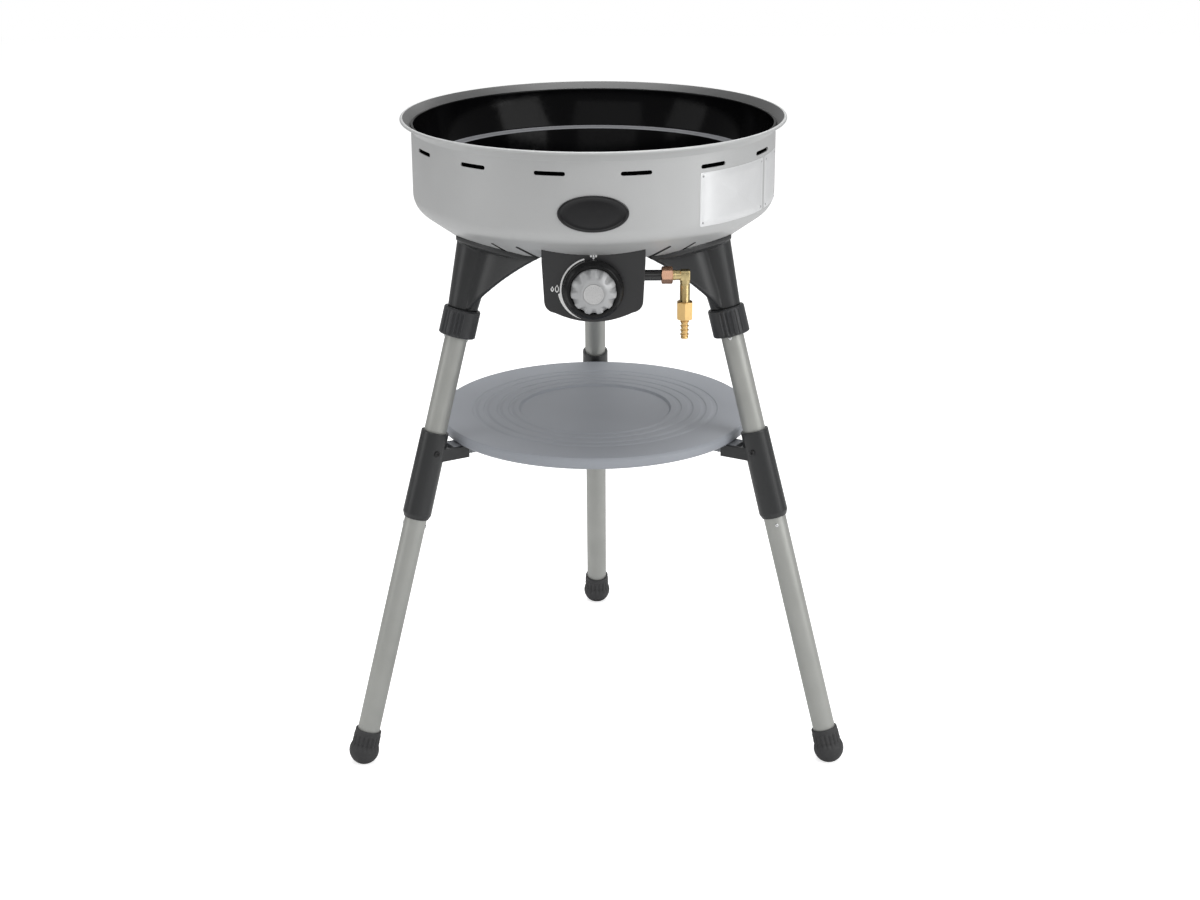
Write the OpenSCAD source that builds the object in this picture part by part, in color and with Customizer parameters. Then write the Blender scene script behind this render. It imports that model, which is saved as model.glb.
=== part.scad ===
// Portable tripod gas grill: an enamelled bowl on three plug-in legs,
// with a shelf between the legs and one gas valve on a front panel.
// Millimetres. The origin is on the floor at the centre of the tripod,
// +Z is up and the valve panel faces -Y.

/* [Bowl] */
// Height of the rim above the floor
rim_h = 800; // [760:5:860]
// Outer diameter of the flared rim
rim_d = 474; // [466:1:490]
// Outer diameter of the straight side
body_d = 449; // [440:1:456]
// Height of the flared lip
lip_h = 13; // [10:0.5:18]
// Height of the straight side below the lip
side_h = 80; // [70:1:95]
// Radius between the side and the cone
bowl_corner_r = 25; // [15:1:30]
// Slope of the cone under the side
cone_angle = 36; // [30:1:40]
// Diameter of the flat base
base_d = 357; // [345:1:366]
// Thickness of the bowl sheet
bowl_t = 1.6; // [1.2:0.1:2.4]
// Radius of the rolled bead on the rim
rim_bead_r = 1.9; // [1.7:0.1:2.6]
// Diameter of the burner hole in the base
burner_hole_d = 76; // [64:1:90]

/* [Vents] */
// Number of slots round the side
side_slots = 14; // [8:1:16]
// Length of a side slot
side_slot_l = 37; // [25:1:45]
// Height of a side slot
side_slot_h = 5; // [4:0.5:8]
// Drop of the side slots below the lip
side_slot_drop = 15; // [12:1:25]
// Number of slots in the cone on each side of a leg
cone_slots = 2; // [1:1:3]
// Distance of the outermost cone slot from the leg's plane
cone_slot_y = 109; // [104:1:114]
// Distance between the cone slots on one side of a leg
cone_slot_pitch = 31; // [26:1:34]
// Width of a cone slot
cone_slot_w = 5.5; // [3:0.5:7]

/* [Pan] */
// Thickness of the pan sheet
pan_t = 1.4; // [1:0.1:2]
// Radius of the bead on the pan's edge
pan_bead_r = 1.6; // [1.5:0.1:2.2]
// Height of the pan's edge above the foot of the lip
pan_edge_up = 4; // [3:0.5:4]
// Depth of the grate ledge below the rim
ledge_drop = 56; // [48:1:60]
// Outer diameter of the grate ledge
ledge_d = 418; // [404:1:424]
// Width of the grate ledge
ledge_w = 12; // [8:1:16]
// Depth of the pan floor below the ledge
pan_depth = 60; // [54:1:62]
// Diameter of the pan floor
pan_floor_d = 320; // [300:2:330]
// Diameter of the hole round the burner
pan_hole_d = 140; // [130:1:150]
// Height of the collar round the hole
pan_collar_h = 20; // [14:1:26]

/* [Burner] */
// Diameter of the burner head
head_d = 104; // [90:1:112]
// Height of the burner head
head_h = 16; // [12:1:22]
// Height of the burner head above the bowl base
head_up = 26; // [20:1:36]
// Number of flame ports
ports = 36; // [24:1:40]
// Diameter of a flame port
port_d = 3; // [2:0.2:4]
// Diameter of the burner cap
cap_d = 112; // [106:1:118]
// Outer diameter of the mixing tube
mix_d = 24; // [20:1:28]

/* [Valve panel] */
// Width of the panel
panel_w = 122; // [112:1:130]
// Height of the panel below the bowl base
panel_h = 73; // [66:1:80]
// Distance of the panel face from the centre
panel_y = 190; // [186:1:193]
// Depth of the panel's side walls
panel_depth = 44; // [38:1:52]
// Thickness of the panel sheet
panel_t = 2; // [1.5:0.1:3]
// Depth of the valve axis below the bowl base
valve_drop = 32; // [30:1:34]

/* [Knob] */
// Outer diameter of the knob skirt
skirt_d = 71; // [64:1:74]
// Height of the knob skirt
skirt_h = 11; // [8:1:14]
// Diameter of the fluted grip
grip_d = 54; // [46:1:56]
// Height of the fluted grip
grip_h = 17; // [12:1:22]
// Number of flutes
flutes = 11; // [8:1:14]
// Diameter of the face disc
face_d = 24; // [18:1:26]
// Travel of the knob when pushed
push_travel = 3; // [2:0.5:3.5]
// Diameter of the valve stem
stem_d = 8; // [6:0.5:9]

/* [Gas line] */
// Diameter of the inlet pipe
pipe_d = 13; // [11:0.5:14]
// Height of the inlet pipe above the valve axis
pipe_up = 10; // [7:0.5:11]
// Distance of the elbow's lower arm from the centre plane
elbow_x = 108; // [102:1:114]
// Diameter of the elbow's arms
elbow_d = 12.6; // [11:0.2:14]
// Length of the elbow's lower arm below its centre line
elbow_drop = 36; // [30:1:40]
// Width across the flats of the union nuts
nut_af = 18; // [17:0.5:20]
// Height of the hose nut
hose_nut_h = 22; // [18:1:26]
// Length of thread that the hose nut holds
thread_hold = 4; // [2:0.5:6]
// Diameter of the hose barbs
barb_d = 10.6; // [9:0.2:11]
// Number of hose barbs
barbs = 4; // [3:1:5]
// Pitch of the hose barbs
barb_pitch = 5.2; // [4:0.2:6]

/* [Legs] */
// Splay of the legs from vertical
splay = 15.6; // [14:0.1:18]
// Distance from the centre at which a leg axis meets the bowl base
socket_r = 163; // [158:1:166]
// Outer diameter of the leg tubes
tube_d = 28; // [25:0.5:29]
// Wall of the leg tubes
tube_t = 1.5; // [1.2:0.1:2.5]
// Length of a socket below the bowl base
socket_len = 85; // [76:1:92]
// Half width of a socket's wings
wing_reach = 112; // [95:1:116]
// Outer diameter of a clamp collar
collar_d = 45.5; // [43.5:0.5:48]
// Length of a clamp collar
collar_len = 35; // [32:1:44]
// Shown length of an upper tube
upper_shown = 123; // [100:1:135]
// Length that a tube is pushed into its socket
plug_len = 62; // [50:1:70]
// Diameter of the stop pins
pin_d = 4.6; // [4:0.2:6]
// Length that a stop pin stands proud of its tube
pin_proud = 1.3; // [0.8:0.1:1.6]

/* [Sleeves and feet] */
// Outer diameter of a sleeve
sleeve_d = 36; // [34.5:0.5:38]
// Length of a sleeve
sleeve_len = 113; // [100:1:125]
// Length of tube inside each end of a sleeve
sleeve_grip = 50; // [40:1:54]
// Drop of an arm's top below the top of its sleeve
arm_drop = 21.5; // [19:0.5:25]
// Height of an arm
arm_h = 16; // [14:0.5:20]
// Width of an arm
arm_w = 29; // [26:1:31]
// Wall of an arm
arm_t = 3.5; // [2.5:0.5:4.5]
// Length of an arm from the leg axis to its open end
arm_len = 45.6; // [42:0.2:48]
// Diameter of a foot at its widest
foot_d = 38; // [36:0.5:44]
// Length of a foot
foot_len = 45; // [38:1:55]

/* [Shelf] */
// Gap between the shelf's edge and the sleeves
tray_gap = 15.4; // [13:0.2:18]
// Thickness of the shelf
tray_t = 14; // [10:0.5:16]
// Diameter of the shelf's middle recess
recess_d = 194; // [180:1:205]
// Depth of the middle recess
recess_depth = 3; // [2:0.5:4]

/* [Fits] */
// Running clearance between moving pieces, on each side
run_gap = 0.3; // [0.25:0.05:0.4]
// Clearance between fixed pieces, on each side
fit_gap = 0.15; // [0.1:0.05:0.2]

/* [Hidden] */
$fn = 96;

// Bearings of the three legs, seen from above
LEFT = 210;
RIGHT = 330;
REAR = 90;
BEARINGS = [LEFT, RIGHT, REAR];
// Turn of each leg's stop pins about the leg axis
UPPER_PIN_TURN = [60, 15, 0];
LOWER_PIN_TURN = [60, 30, 0];

rim_r = rim_d / 2;
body_r = body_d / 2;
base_r = base_d / 2;
lip_z = rim_h - lip_h;
corner_z = lip_z - side_h;
cone_top_r = body_r - bowl_corner_r * (1 - sin(cone_angle));
cone_top_z = corner_z - bowl_corner_r * cos(cone_angle);
base_z = cone_top_z - (cone_top_r - base_r) * tan(cone_angle);
// Slope of the flared lip from vertical
lip_angle = atan((rim_r - body_r) / lip_h);

// Outer profile of the bowl, moved outwards by o
function bowl_path(o, from_r = 0) = concat(
    [[from_r, base_z - o], [base_r + o * tan(cone_angle / 2), base_z - o]],
    [for (i = [0:8]) let (a = (90 - cone_angle) * (1 - i / 8))
        [body_r - bowl_corner_r + (bowl_corner_r + o) * cos(a),
         corner_z - (bowl_corner_r + o) * sin(a)]],
    [[body_r + o, lip_z - o * tan(lip_angle / 2)],
     [rim_r + o / cos(lip_angle), rim_h]]);
function reversed(p) = [for (i = [len(p) - 1:-1:0]) p[i]];
// Radius of the bowl's inner side at height z on the lip
function lip_inner_r(z) = body_r + (z - lip_z) * tan(lip_angle) - bowl_t / cos(lip_angle);
// Points of a lens with half axes a and b
function lens(a, b, n = 48) = [for (i = [0:n - 1]) [a * cos(360 * i / n), b * sin(360 * i / n)]];

// The space that the bowl fills, moved outwards by o
module bowl_space(o) {
    rotate_extrude() polygon(concat(bowl_path(o), [[0, rim_h]]));
}
// Places things round the centre, n times from bearing start
module ring(n, start = 0) {
    for (i = [0:n - 1]) rotate([0, 0, start + i * 360 / n]) children();
}
// A slot of length l and width w with round ends, cut h deep upwards
module slot(l, w, h) {
    translate([-(l - w) / 2, -w / 2, 0]) cube([l - w, w, h]);
    for (s = [-1, 1]) translate([s * (l - w) / 2, 0, 0]) cylinder(d = w, h = h, $fn = 32);
}
// A hexagonal bar of width af across its flats
module hex_bar(af, h) {
    cylinder(d = af / cos(30), h = h, $fn = 6);
}
// A tube from the inside diameter to the outside diameter
module pipe(d, bore, h) {
    difference() {
        cylinder(d = d, h = h);
        translate([0, 0, -1]) cylinder(d = bore, h = h + 2);
    }
}

// ---- Bowl ----
// Distances of a cone slot's two ends from the centre
cone_slot_out_r = cone_top_r - 14;
cone_slot_in_r = base_r - 5;
module bowl_shell() {
    color([0.72, 0.73, 0.73]) difference() {
        union() {
            rotate_extrude() polygon(concat(bowl_path(0, burner_hole_d / 2),
                reversed(bowl_path(-bowl_t, burner_hole_d / 2))));
            rim_bead();
        }
        side_vents();
        cone_vents();
        bowl_holes();
    }
}
module rim_bead() {
    rotate_extrude() translate([rim_r - bowl_t / 2, rim_h - rim_bead_r]) circle(r = rim_bead_r, $fn = 24);
}
module side_vents() {
    ring(side_slots, -90 + 180 / side_slots)
        translate([body_r - 10, 0, lip_z - side_slot_drop])
            rotate([90, 0, 90]) slot(side_slot_l, side_slot_h, 20);
}
// Slots through the cone beside each leg, cut parallel to the leg's plane
module cone_vents() {
    for (b = BEARINGS, s = [-1, 1], i = [0:cone_slots - 1]) {
        y = cone_slot_y - i * cone_slot_pitch;
        x_in = sqrt(cone_slot_in_r * cone_slot_in_r - y * y);
        x_out = sqrt(cone_slot_out_r * cone_slot_out_r - y * y);
        rotate([0, 0, b]) translate([(x_in + x_out) / 2, s * y, base_z - 10])
            slot(x_out - x_in, cone_slot_w, cone_top_z - base_z + 16);
    }
}
// Holes for the socket, bracket and panel screws, the igniter lead and its electrode
screw_d = 5;
hole_d = screw_d + 0.6;
module bowl_holes() {
    at_socket_screws() translate([0, 0, base_z - 10]) cylinder(d = hole_d, h = 20);
    at_bracket_screws() translate([0, 0, base_z - 10]) cylinder(d = hole_d, h = 20);
    at_panel_screws() translate([0, 0, base_z - 10]) cylinder(d = hole_d, h = 20);
    translate([electrode_x, electrode_y, base_z - 10]) cylinder(d = electrode_d + 2 * run_gap, h = 20);
}

// ---- Pan ----
pan_edge_z = lip_z + pan_edge_up;
// The bead lies one running gap inside the lip
pan_edge_r = lip_inner_r(pan_edge_z) - (pan_bead_r + run_gap) / cos(lip_angle);
ledge_z = rim_h - ledge_drop;
pan_floor_z = ledge_z - pan_depth;
PAN_WALL_LEAN = 6;
PAN_CORNER = 14;
// Lower face of the pan from the edge to the hole, moved in and up by t
function pan_face(t) = [
    [pan_edge_r - t, pan_edge_z],
    [ledge_d / 2 - t, ledge_z + t],
    [ledge_d / 2 - ledge_w - t, ledge_z + t],
    [ledge_d / 2 - ledge_w - PAN_WALL_LEAN - t, pan_floor_z + PAN_CORNER + t],
    [pan_floor_d / 2 - t, pan_floor_z + t],
    [pan_hole_d / 2 + pan_t / 2, pan_floor_z + t]];
module pan() {
    color([0.03, 0.03, 0.035]) {
        rotate_extrude() polygon(concat(pan_face(0), reversed(pan_face(pan_t))));
        translate([0, 0, pan_floor_z - 0.2]) pipe(pan_hole_d + 2 * pan_t, pan_hole_d, pan_collar_h + 0.2);
        rotate_extrude() translate([pan_edge_r - 0.1, pan_edge_z + 0.2]) circle(r = pan_bead_r, $fn = 24);
    }
}

// ---- Burner ----
head_z = base_z + head_up;
valve_z = base_z - valve_drop;
MIX_T = 1.5;
SPIGOT_D = mix_d - 2 * MIX_T - 2 * fit_gap;
AIR_WINDOW_D = 12;
AIR_WINDOW_BACK = 16;
valve_front = -panel_y + panel_t;
VALVE_LEN = 36;
// The mixing tube runs back from the valve, round the jet, then turns up through the bowl
mix_y = valve_front + VALVE_LEN;
module burner_tube() {
    color([0.62, 0.62, 0.62]) difference() {
        union() {
            translate([0, mix_y, valve_z]) rotate([-90, 0, 0]) cylinder(d = mix_d, h = -mix_y);
            translate([0, 0, valve_z]) sphere(d = mix_d);
            translate([0, 0, valve_z]) cylinder(d = mix_d, h = head_z - valve_z);
        }
        translate([0, mix_y - 1, valve_z]) rotate([-90, 0, 0])
            cylinder(d = mix_d - 2 * MIX_T, h = -mix_y + 1);
        translate([0, 0, valve_z]) sphere(d = mix_d - 2 * MIX_T);
        translate([0, 0, valve_z]) cylinder(d = mix_d - 2 * MIX_T, h = head_z - valve_z + 1);
        // Air windows just past the jet
        for (s = [-1, 1]) translate([0, mix_y + AIR_WINDOW_BACK, valve_z]) rotate([0, s * 90, 0])
            cylinder(d = AIR_WINDOW_D, h = mix_d);
    }
}
module burner_head() {
    color([0.3, 0.3, 0.3]) difference() {
        union() {
            translate([0, 0, head_z]) cylinder(d1 = head_d - 24, d2 = head_d, h = 8);
            translate([0, 0, head_z + 8]) cylinder(d = head_d, h = head_h - 8);
            translate([0, 0, head_z - 12]) cylinder(d = SPIGOT_D, h = 13);
        }
        translate([0, 0, head_z + 4]) cylinder(d1 = head_d - 32, d2 = head_d - 10, h = 6);
        translate([0, 0, head_z + 9.9]) cylinder(d = head_d - 10, h = head_h);
        translate([0, 0, head_z - 13]) cylinder(d = SPIGOT_D - 4, h = 20);
        ring(ports) translate([head_d / 2 - 8, 0, head_z + head_h - 3]) rotate([0, 90, 0])
            cylinder(d = port_d, h = 12, $fn = 24);
    }
}
module burner_cap() {
    color([0.2, 0.2, 0.2]) {
        translate([0, 0, head_z + head_h]) cylinder(d = cap_d, h = 3);
        translate([0, 0, head_z + head_h + 3]) cylinder(d1 = cap_d - 3, d2 = cap_d - 30, h = 3);
        translate([0, 0, head_z + head_h - 4]) pipe(head_d - 10 - 2 * fit_gap, head_d - 18, 4);
    }
}
BRACKET_T = 2;
BRACKET_W = 30;
bracket_half = burner_hole_d / 2 + 14;
module burner_bracket() {
    color([0.65, 0.66, 0.67]) difference() {
        translate([-bracket_half, -BRACKET_W / 2, base_z - BRACKET_T])
            cube([2 * bracket_half, BRACKET_W, BRACKET_T]);
        translate([0, 0, base_z - BRACKET_T - 1]) cylinder(d = mix_d + 2 * fit_gap, h = BRACKET_T + 2);
        at_bracket_screws() translate([0, 0, base_z - 10]) cylinder(d = hole_d, h = 20);
    }
}
module at_bracket_screws() {
    for (s = [-1, 1]) translate([s * (burner_hole_d / 2 + 7), 0, 0]) children();
}
// A screw through sheets between z1 and z2, its head below and a nut above
module screw_and_nut(z1, z2) {
    translate([0, 0, z1 - 3]) cylinder(d = 9, h = 3, $fn = 32);
    translate([0, 0, z1 - 1]) cylinder(d = screw_d, h = z2 - z1 + 3, $fn = 32);
    translate([0, 0, z2]) hex_bar(8, 3.5);
}
module bracket_screws() {
    color([0.7, 0.7, 0.7]) at_bracket_screws() screw_and_nut(base_z - BRACKET_T, base_z + bowl_t);
}

// ---- Igniter ----
electrode_d = 6;
electrode_x = head_d / 2 + 8;
electrode_y = 14;
electrode_low = base_z - 8;
electrode_top = base_z + head_up + head_h;
ELECTRODE_TIP = 7;
module igniter_electrode() {
    color([0.9, 0.88, 0.84]) translate([electrode_x, electrode_y, 0]) {
        translate([0, 0, electrode_low])
            cylinder(d = electrode_d, h = electrode_top - ELECTRODE_TIP + 1 - electrode_low);
        translate([0, 0, base_z + bowl_t]) cylinder(d = electrode_d + 4, h = 4);
        translate([0, 0, electrode_top - ELECTRODE_TIP]) cylinder(d = 2, h = ELECTRODE_TIP, $fn = 24);
    }
}
BOX_D = 16;
BOX_LEN = 30;
box_x = -panel_w / 2 + 20;
module igniter_box() {
    color([0.1, 0.1, 0.1]) translate([box_x, valve_front, valve_z]) rotate([-90, 0, 0])
        cylinder(d = BOX_D, h = BOX_LEN);
}
LEAD_D = 3;
lead_z = base_z - 14;
module igniter_lead() {
    box_end = valve_front + BOX_LEN;
    color([0.08, 0.08, 0.08]) difference() {
        rod_run([[box_x, box_end, valve_z], [box_x, box_end + 16, lead_z],
            [electrode_x, electrode_y - 30, lead_z], [electrode_x, electrode_y, lead_z],
            [electrode_x, electrode_y, electrode_low + 2]], LEAD_D);
        translate([electrode_x, electrode_y, electrode_low]) cylinder(d = electrode_d + 2, h = 20);
        translate([box_x, valve_front, valve_z]) rotate([-90, 0, 0]) cylinder(d = BOX_D + 1, h = BOX_LEN);
    }
}
// Straight round rods between points, with a slightly larger ball at each point
module rod_run(points, d) {
    for (p = points) translate(p) sphere(d = d + 0.3, $fn = 24);
    for (i = [0:len(points) - 2]) {
        v = points[i + 1] - points[i];
        translate(points[i]) rotate([0, acos(v[2] / norm(v)), atan2(v[1], v[0])])
            cylinder(d = d, h = norm(v), $fn = 24);
    }
}

// ---- Valve panel ----
PANEL_CORNER = 14;
PANEL_BELLY = 11;
PANEL_TAPER = 2.5;
panel_low_z = base_z - panel_h;
// Outline of the panel: near-straight sides, rounded corners and a curved lower edge
function panel_outline(o) = let (
        hw = panel_w / 2 + o,
        corner_z = panel_low_z + PANEL_BELLY + PANEL_CORNER,
        belly_w = hw - PANEL_TAPER - PANEL_CORNER * 0.9)
    concat(
        [[-hw, base_z + 40], [-hw, base_z]],
        [for (i = [0:6]) let (a = 180 + i * 11)
            [-(hw - PANEL_TAPER - PANEL_CORNER) + PANEL_CORNER * cos(a),
             corner_z + PANEL_CORNER * sin(a) - o]],
        [for (i = [0:16]) let (u = -1 + i / 8)
            [u * belly_w, panel_low_z + PANEL_BELLY * u * u - o]],
        [for (i = [6:-1:0]) let (a = 180 + i * 11)
            [(hw - PANEL_TAPER - PANEL_CORNER) - PANEL_CORNER * cos(a),
             corner_z + PANEL_CORNER * sin(a) - o]],
        [[hw, base_z], [hw, base_z + 40]]);
module panel_block(o, y0, depth) {
    translate([0, y0 + depth, 0]) rotate([90, 0, 0]) linear_extrude(depth) polygon(panel_outline(o));
}
STEM_HOLE_D = stem_d + 6;
pipe_z = valve_z + pipe_up;
pipe_y = -panel_y + 22;
TAB_W = 14;
tab_y = -panel_y + panel_depth - TAB_W / 2;
tab_x = panel_w / 2 - PANEL_TAPER - TAB_W / 2 - panel_t;
module at_panel_screws() {
    for (s = [-1, 1]) translate([s * tab_x, tab_y, 0]) children();
}
module valve_panel() {
    color([0.2, 0.2, 0.21]) difference() {
        union() {
            difference() {
                panel_block(0, -panel_y, panel_depth);
                panel_block(-panel_t, -panel_y + panel_t, panel_depth);
            }
            for (s = [-1, 1])
                translate([s * (tab_x + 2) - (TAB_W + 4) / 2, tab_y - TAB_W / 2, base_z - panel_t])
                    cube([TAB_W + 4, TAB_W, panel_t]);
        }
        bowl_space(0);
        translate([0, -panel_y - 1, valve_z]) rotate([-90, 0, 0])
            cylinder(d = STEM_HOLE_D, h = panel_t + 2);
        translate([panel_w / 2 - 10, pipe_y, pipe_z]) rotate([0, 90, 0])
            cylinder(d = pipe_d + 2 * fit_gap, h = 20);
        at_panel_screws() translate([0, 0, base_z - 10]) cylinder(d = hole_d, h = 20);
    }
}
module panel_screws() {
    color([0.7, 0.7, 0.7]) at_panel_screws() screw_and_nut(base_z - panel_t, base_z + bowl_t);
}

// ---- Gas valve ----
VALVE_D = 26;
VALVE_CAP = 3;
PLUG_D = 16;
plug_y = valve_front + 14;
PLUG_LEN = 14;
JET_HEX = 9;
JET_LEN = 9;
module gas_valve() {
    color([0.78, 0.66, 0.4]) difference() {
        union() {
            translate([0, valve_front, valve_z]) rotate([-90, 0, 0]) cylinder(d = VALVE_D, h = VALVE_LEN);
            translate([0, pipe_y, pipe_z]) rotate([0, 90, 0]) cylinder(d = pipe_d + 1, h = VALVE_D / 2 + 8);
        }
        translate([0, valve_front - 1, valve_z]) rotate([-90, 0, 0])
            cylinder(d = stem_d + 2 * run_gap, h = VALVE_CAP + 2);
        // Chamber of the stem's shoulder, the spring and the plug
        translate([0, valve_front + VALVE_CAP, valve_z]) rotate([-90, 0, 0])
            cylinder(d = PLUG_D + 2 * run_gap, h = plug_y + PLUG_LEN + run_gap - valve_front - VALVE_CAP);
        translate([0, valve_front + VALVE_LEN - 5, valve_z]) rotate([-90, 0, 0])
            cylinder(d = 6, h = 10);
        translate([VALVE_D / 2 + 2, pipe_y, pipe_z]) rotate([0, 90, 0])
            cylinder(d = pipe_d - 3, h = 20);
        // Gas way from the inlet to the plug
        translate([0, pipe_y, pipe_z]) rotate([0, 90, 0]) cylinder(d = 3, h = VALVE_D);
    }
}
module gas_jet() {
    color([0.85, 0.7, 0.35]) difference() {
        union() {
            translate([0, valve_front + VALVE_LEN, valve_z]) rotate([-90, 0, 0]) hex_bar(JET_HEX, JET_LEN);
            translate([0, valve_front + VALVE_LEN - 4, valve_z]) rotate([-90, 0, 0])
                cylinder(d = 6 - 2 * fit_gap, h = 5, $fn = 32);
        }
        translate([0, valve_front + VALVE_LEN - 5, valve_z]) rotate([-90, 0, 0])
            cylinder(d = 1.2, h = JET_LEN + 6, $fn = 24);
    }
}
// The plug turns with the stem; the stem slides in its bore
module valve_plug() {
    color([0.8, 0.68, 0.42]) difference() {
        translate([0, plug_y, valve_z]) rotate([-90, 0, 0]) cylinder(d = PLUG_D, h = PLUG_LEN);
        translate([0, plug_y - 1, valve_z]) rotate([-90, 0, 0])
            cylinder(d = stem_d + 2 * run_gap, h = STEM_IN + push_travel + run_gap + 1);
    }
}
STEM_IN = 7;
SPRING_WIRE = 1.2;
SPRING_TURNS = 4;
// The turns lie close together, as long as the spring is when the knob is pushed in
SPRING_PITCH = 1.15;
module valve_spring() {
    color([0.75, 0.76, 0.78]) for (i = [0:SPRING_TURNS - 1])
        translate([0, plug_y - SPRING_WIRE / 2 - i * SPRING_PITCH, valve_z]) rotate([-90, 0, 0])
            rotate_extrude() translate([stem_d / 2 + 2 * run_gap + SPRING_WIRE / 2, 0])
                circle(d = SPRING_WIRE, $fn = 16);
}

// ---- Knob ----
skirt_y = -panel_y - push_travel - 0.6;
skirt_front = skirt_y - skirt_h;
grip_front = skirt_front - grip_h + 4;
SKIRT_TAPER = 5;
GRIP_SEAT = 4;
SHOULDER_D = 13;
SHOULDER_T = 2;
module valve_stem() {
    color([0.75, 0.76, 0.78]) {
        translate([0, skirt_front + 3, valve_z]) rotate([-90, 0, 0])
            cylinder(d = stem_d, h = plug_y + STEM_IN - skirt_front - 3);
        // The shoulder keeps the stem in the valve
        translate([0, valve_front + VALVE_CAP + run_gap, valve_z]) rotate([-90, 0, 0])
            cylinder(d = SHOULDER_D, h = SHOULDER_T);
    }
}
module knob_skirt() {
    color([0.06, 0.06, 0.06]) difference() {
        translate([0, skirt_y, valve_z]) rotate([90, 0, 0]) union() {
            cylinder(d = skirt_d, h = skirt_h - SKIRT_TAPER);
            translate([0, 0, skirt_h - SKIRT_TAPER])
                cylinder(d1 = skirt_d, d2 = skirt_d - 2 * SKIRT_TAPER, h = SKIRT_TAPER);
        }
        // Seat of the grip
        translate([0, skirt_front + GRIP_SEAT, valve_z]) rotate([90, 0, 0])
            cylinder(d = grip_d + 2 * fit_gap, h = GRIP_SEAT + 1);
        translate([0, skirt_y + 1, valve_z]) rotate([90, 0, 0])
            cylinder(d = stem_d + 2 * fit_gap, h = skirt_h + 2);
    }
}
module knob_grip() {
    color([0.6, 0.61, 0.62]) difference() {
        translate([0, skirt_front + GRIP_SEAT, valve_z]) rotate([90, 0, 0]) union() {
            cylinder(d = grip_d, h = GRIP_SEAT + 3);
            translate([0, 0, GRIP_SEAT + 3])
                cylinder(d1 = grip_d, d2 = face_d + 6, h = grip_h - GRIP_SEAT - 3);
        }
        translate([0, skirt_front + GRIP_SEAT + 1, valve_z]) rotate([90, 0, 0])
            cylinder(d = stem_d + 2 * fit_gap, h = GRIP_SEAT - 0.2);
        grip_flutes();
        // Seat of the face disc
        translate([0, grip_front + 1, valve_z]) rotate([90, 0, 0])
            cylinder(d = face_d + 2 * fit_gap, h = 3);
    }
}
FLUTE_D = 7;
module grip_flutes() {
    translate([0, skirt_front - 2.5, valve_z]) rotate([90, 0, 0])
        ring(flutes, 90 + 180 / flutes) translate([grip_d / 2 + 0.8, 0, 0])
            rotate([0, -38, 0]) translate([0, 0, -4]) cylinder(d = FLUTE_D, h = grip_h + 14, $fn = 32);
}
module knob_face() {
    color([0.72, 0.73, 0.73]) translate([0, grip_front + 1, valve_z]) rotate([90, 0, 0])
        cylinder(d = face_d, h = 1.6);
}

// ---- Gas line ----
nut_x = panel_w / 2 + 20;
NUT_LEN = 13.5;
pipe_start = VALVE_D / 2 + 3;
module inlet_pipe() {
    color([0.05, 0.05, 0.05]) translate([pipe_start, pipe_y, pipe_z]) rotate([0, 90, 0]) difference() {
        union() {
            cylinder(d = pipe_d - 3 - 2 * fit_gap, h = nut_x + 4 - pipe_start);
            translate([0, 0, VALVE_D / 2 + 8 - pipe_start])
                cylinder(d = pipe_d, h = nut_x - VALVE_D / 2 - 8);
        }
        translate([0, 0, -1]) cylinder(d = pipe_d - 7, h = nut_x + 40);
    }
}
module inlet_nut() {
    color([0.8, 0.55, 0.42]) translate([nut_x, pipe_y, pipe_z]) rotate([0, 90, 0]) difference() {
        hex_bar(nut_af, NUT_LEN);
        translate([0, 0, -1]) cylinder(d = pipe_d - 3 + 2 * fit_gap, h = NUT_LEN + 2);
        translate([0, 0, 5]) cylinder(d = elbow_d - 1 + 2 * fit_gap, h = NUT_LEN);
    }
}
thread_low = pipe_z - elbow_drop;
module inlet_elbow() {
    color([0.85, 0.72, 0.4]) difference() {
        union() {
            translate([nut_x + 6, pipe_y, pipe_z]) rotate([0, 90, 0])
                cylinder(d = elbow_d - 1, h = NUT_LEN - 5);
            translate([nut_x + NUT_LEN, pipe_y, pipe_z]) rotate([0, 90, 0])
                cylinder(d = elbow_d, h = elbow_x - nut_x - NUT_LEN);
            translate([elbow_x, pipe_y, pipe_z]) sphere(d = elbow_d + 0.8);
            translate([elbow_x, pipe_y, thread_low]) cylinder(d = elbow_d, h = elbow_drop);
        }
        translate([nut_x, pipe_y, pipe_z]) rotate([0, 90, 0]) cylinder(d = 6, h = elbow_x - nut_x);
        translate([elbow_x, pipe_y, thread_low - 1]) cylinder(d = 6, h = elbow_drop + 1);
    }
}
hose_nut_top = thread_low + thread_hold;
hose_nut_low = hose_nut_top - hose_nut_h;
NUT_FLOOR = 5;
STEM_TUBE_D = 8;
SEAL_T = 2;
TAIL_HEAD_H = 4;
module hose_nut() {
    color([0.87, 0.7, 0.36]) translate([elbow_x, pipe_y, hose_nut_low]) difference() {
        hex_bar(nut_af, hose_nut_h);
        translate([0, 0, NUT_FLOOR]) cylinder(d = elbow_d + 2 * run_gap, h = hose_nut_h);
        translate([0, 0, -1]) cylinder(d = STEM_TUBE_D + 2 * run_gap, h = NUT_FLOOR + 2);
    }
}
barb_low = hose_nut_low - barbs * barb_pitch - 3;
tail_top = hose_nut_low + NUT_FLOOR + run_gap + TAIL_HEAD_H;
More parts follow.
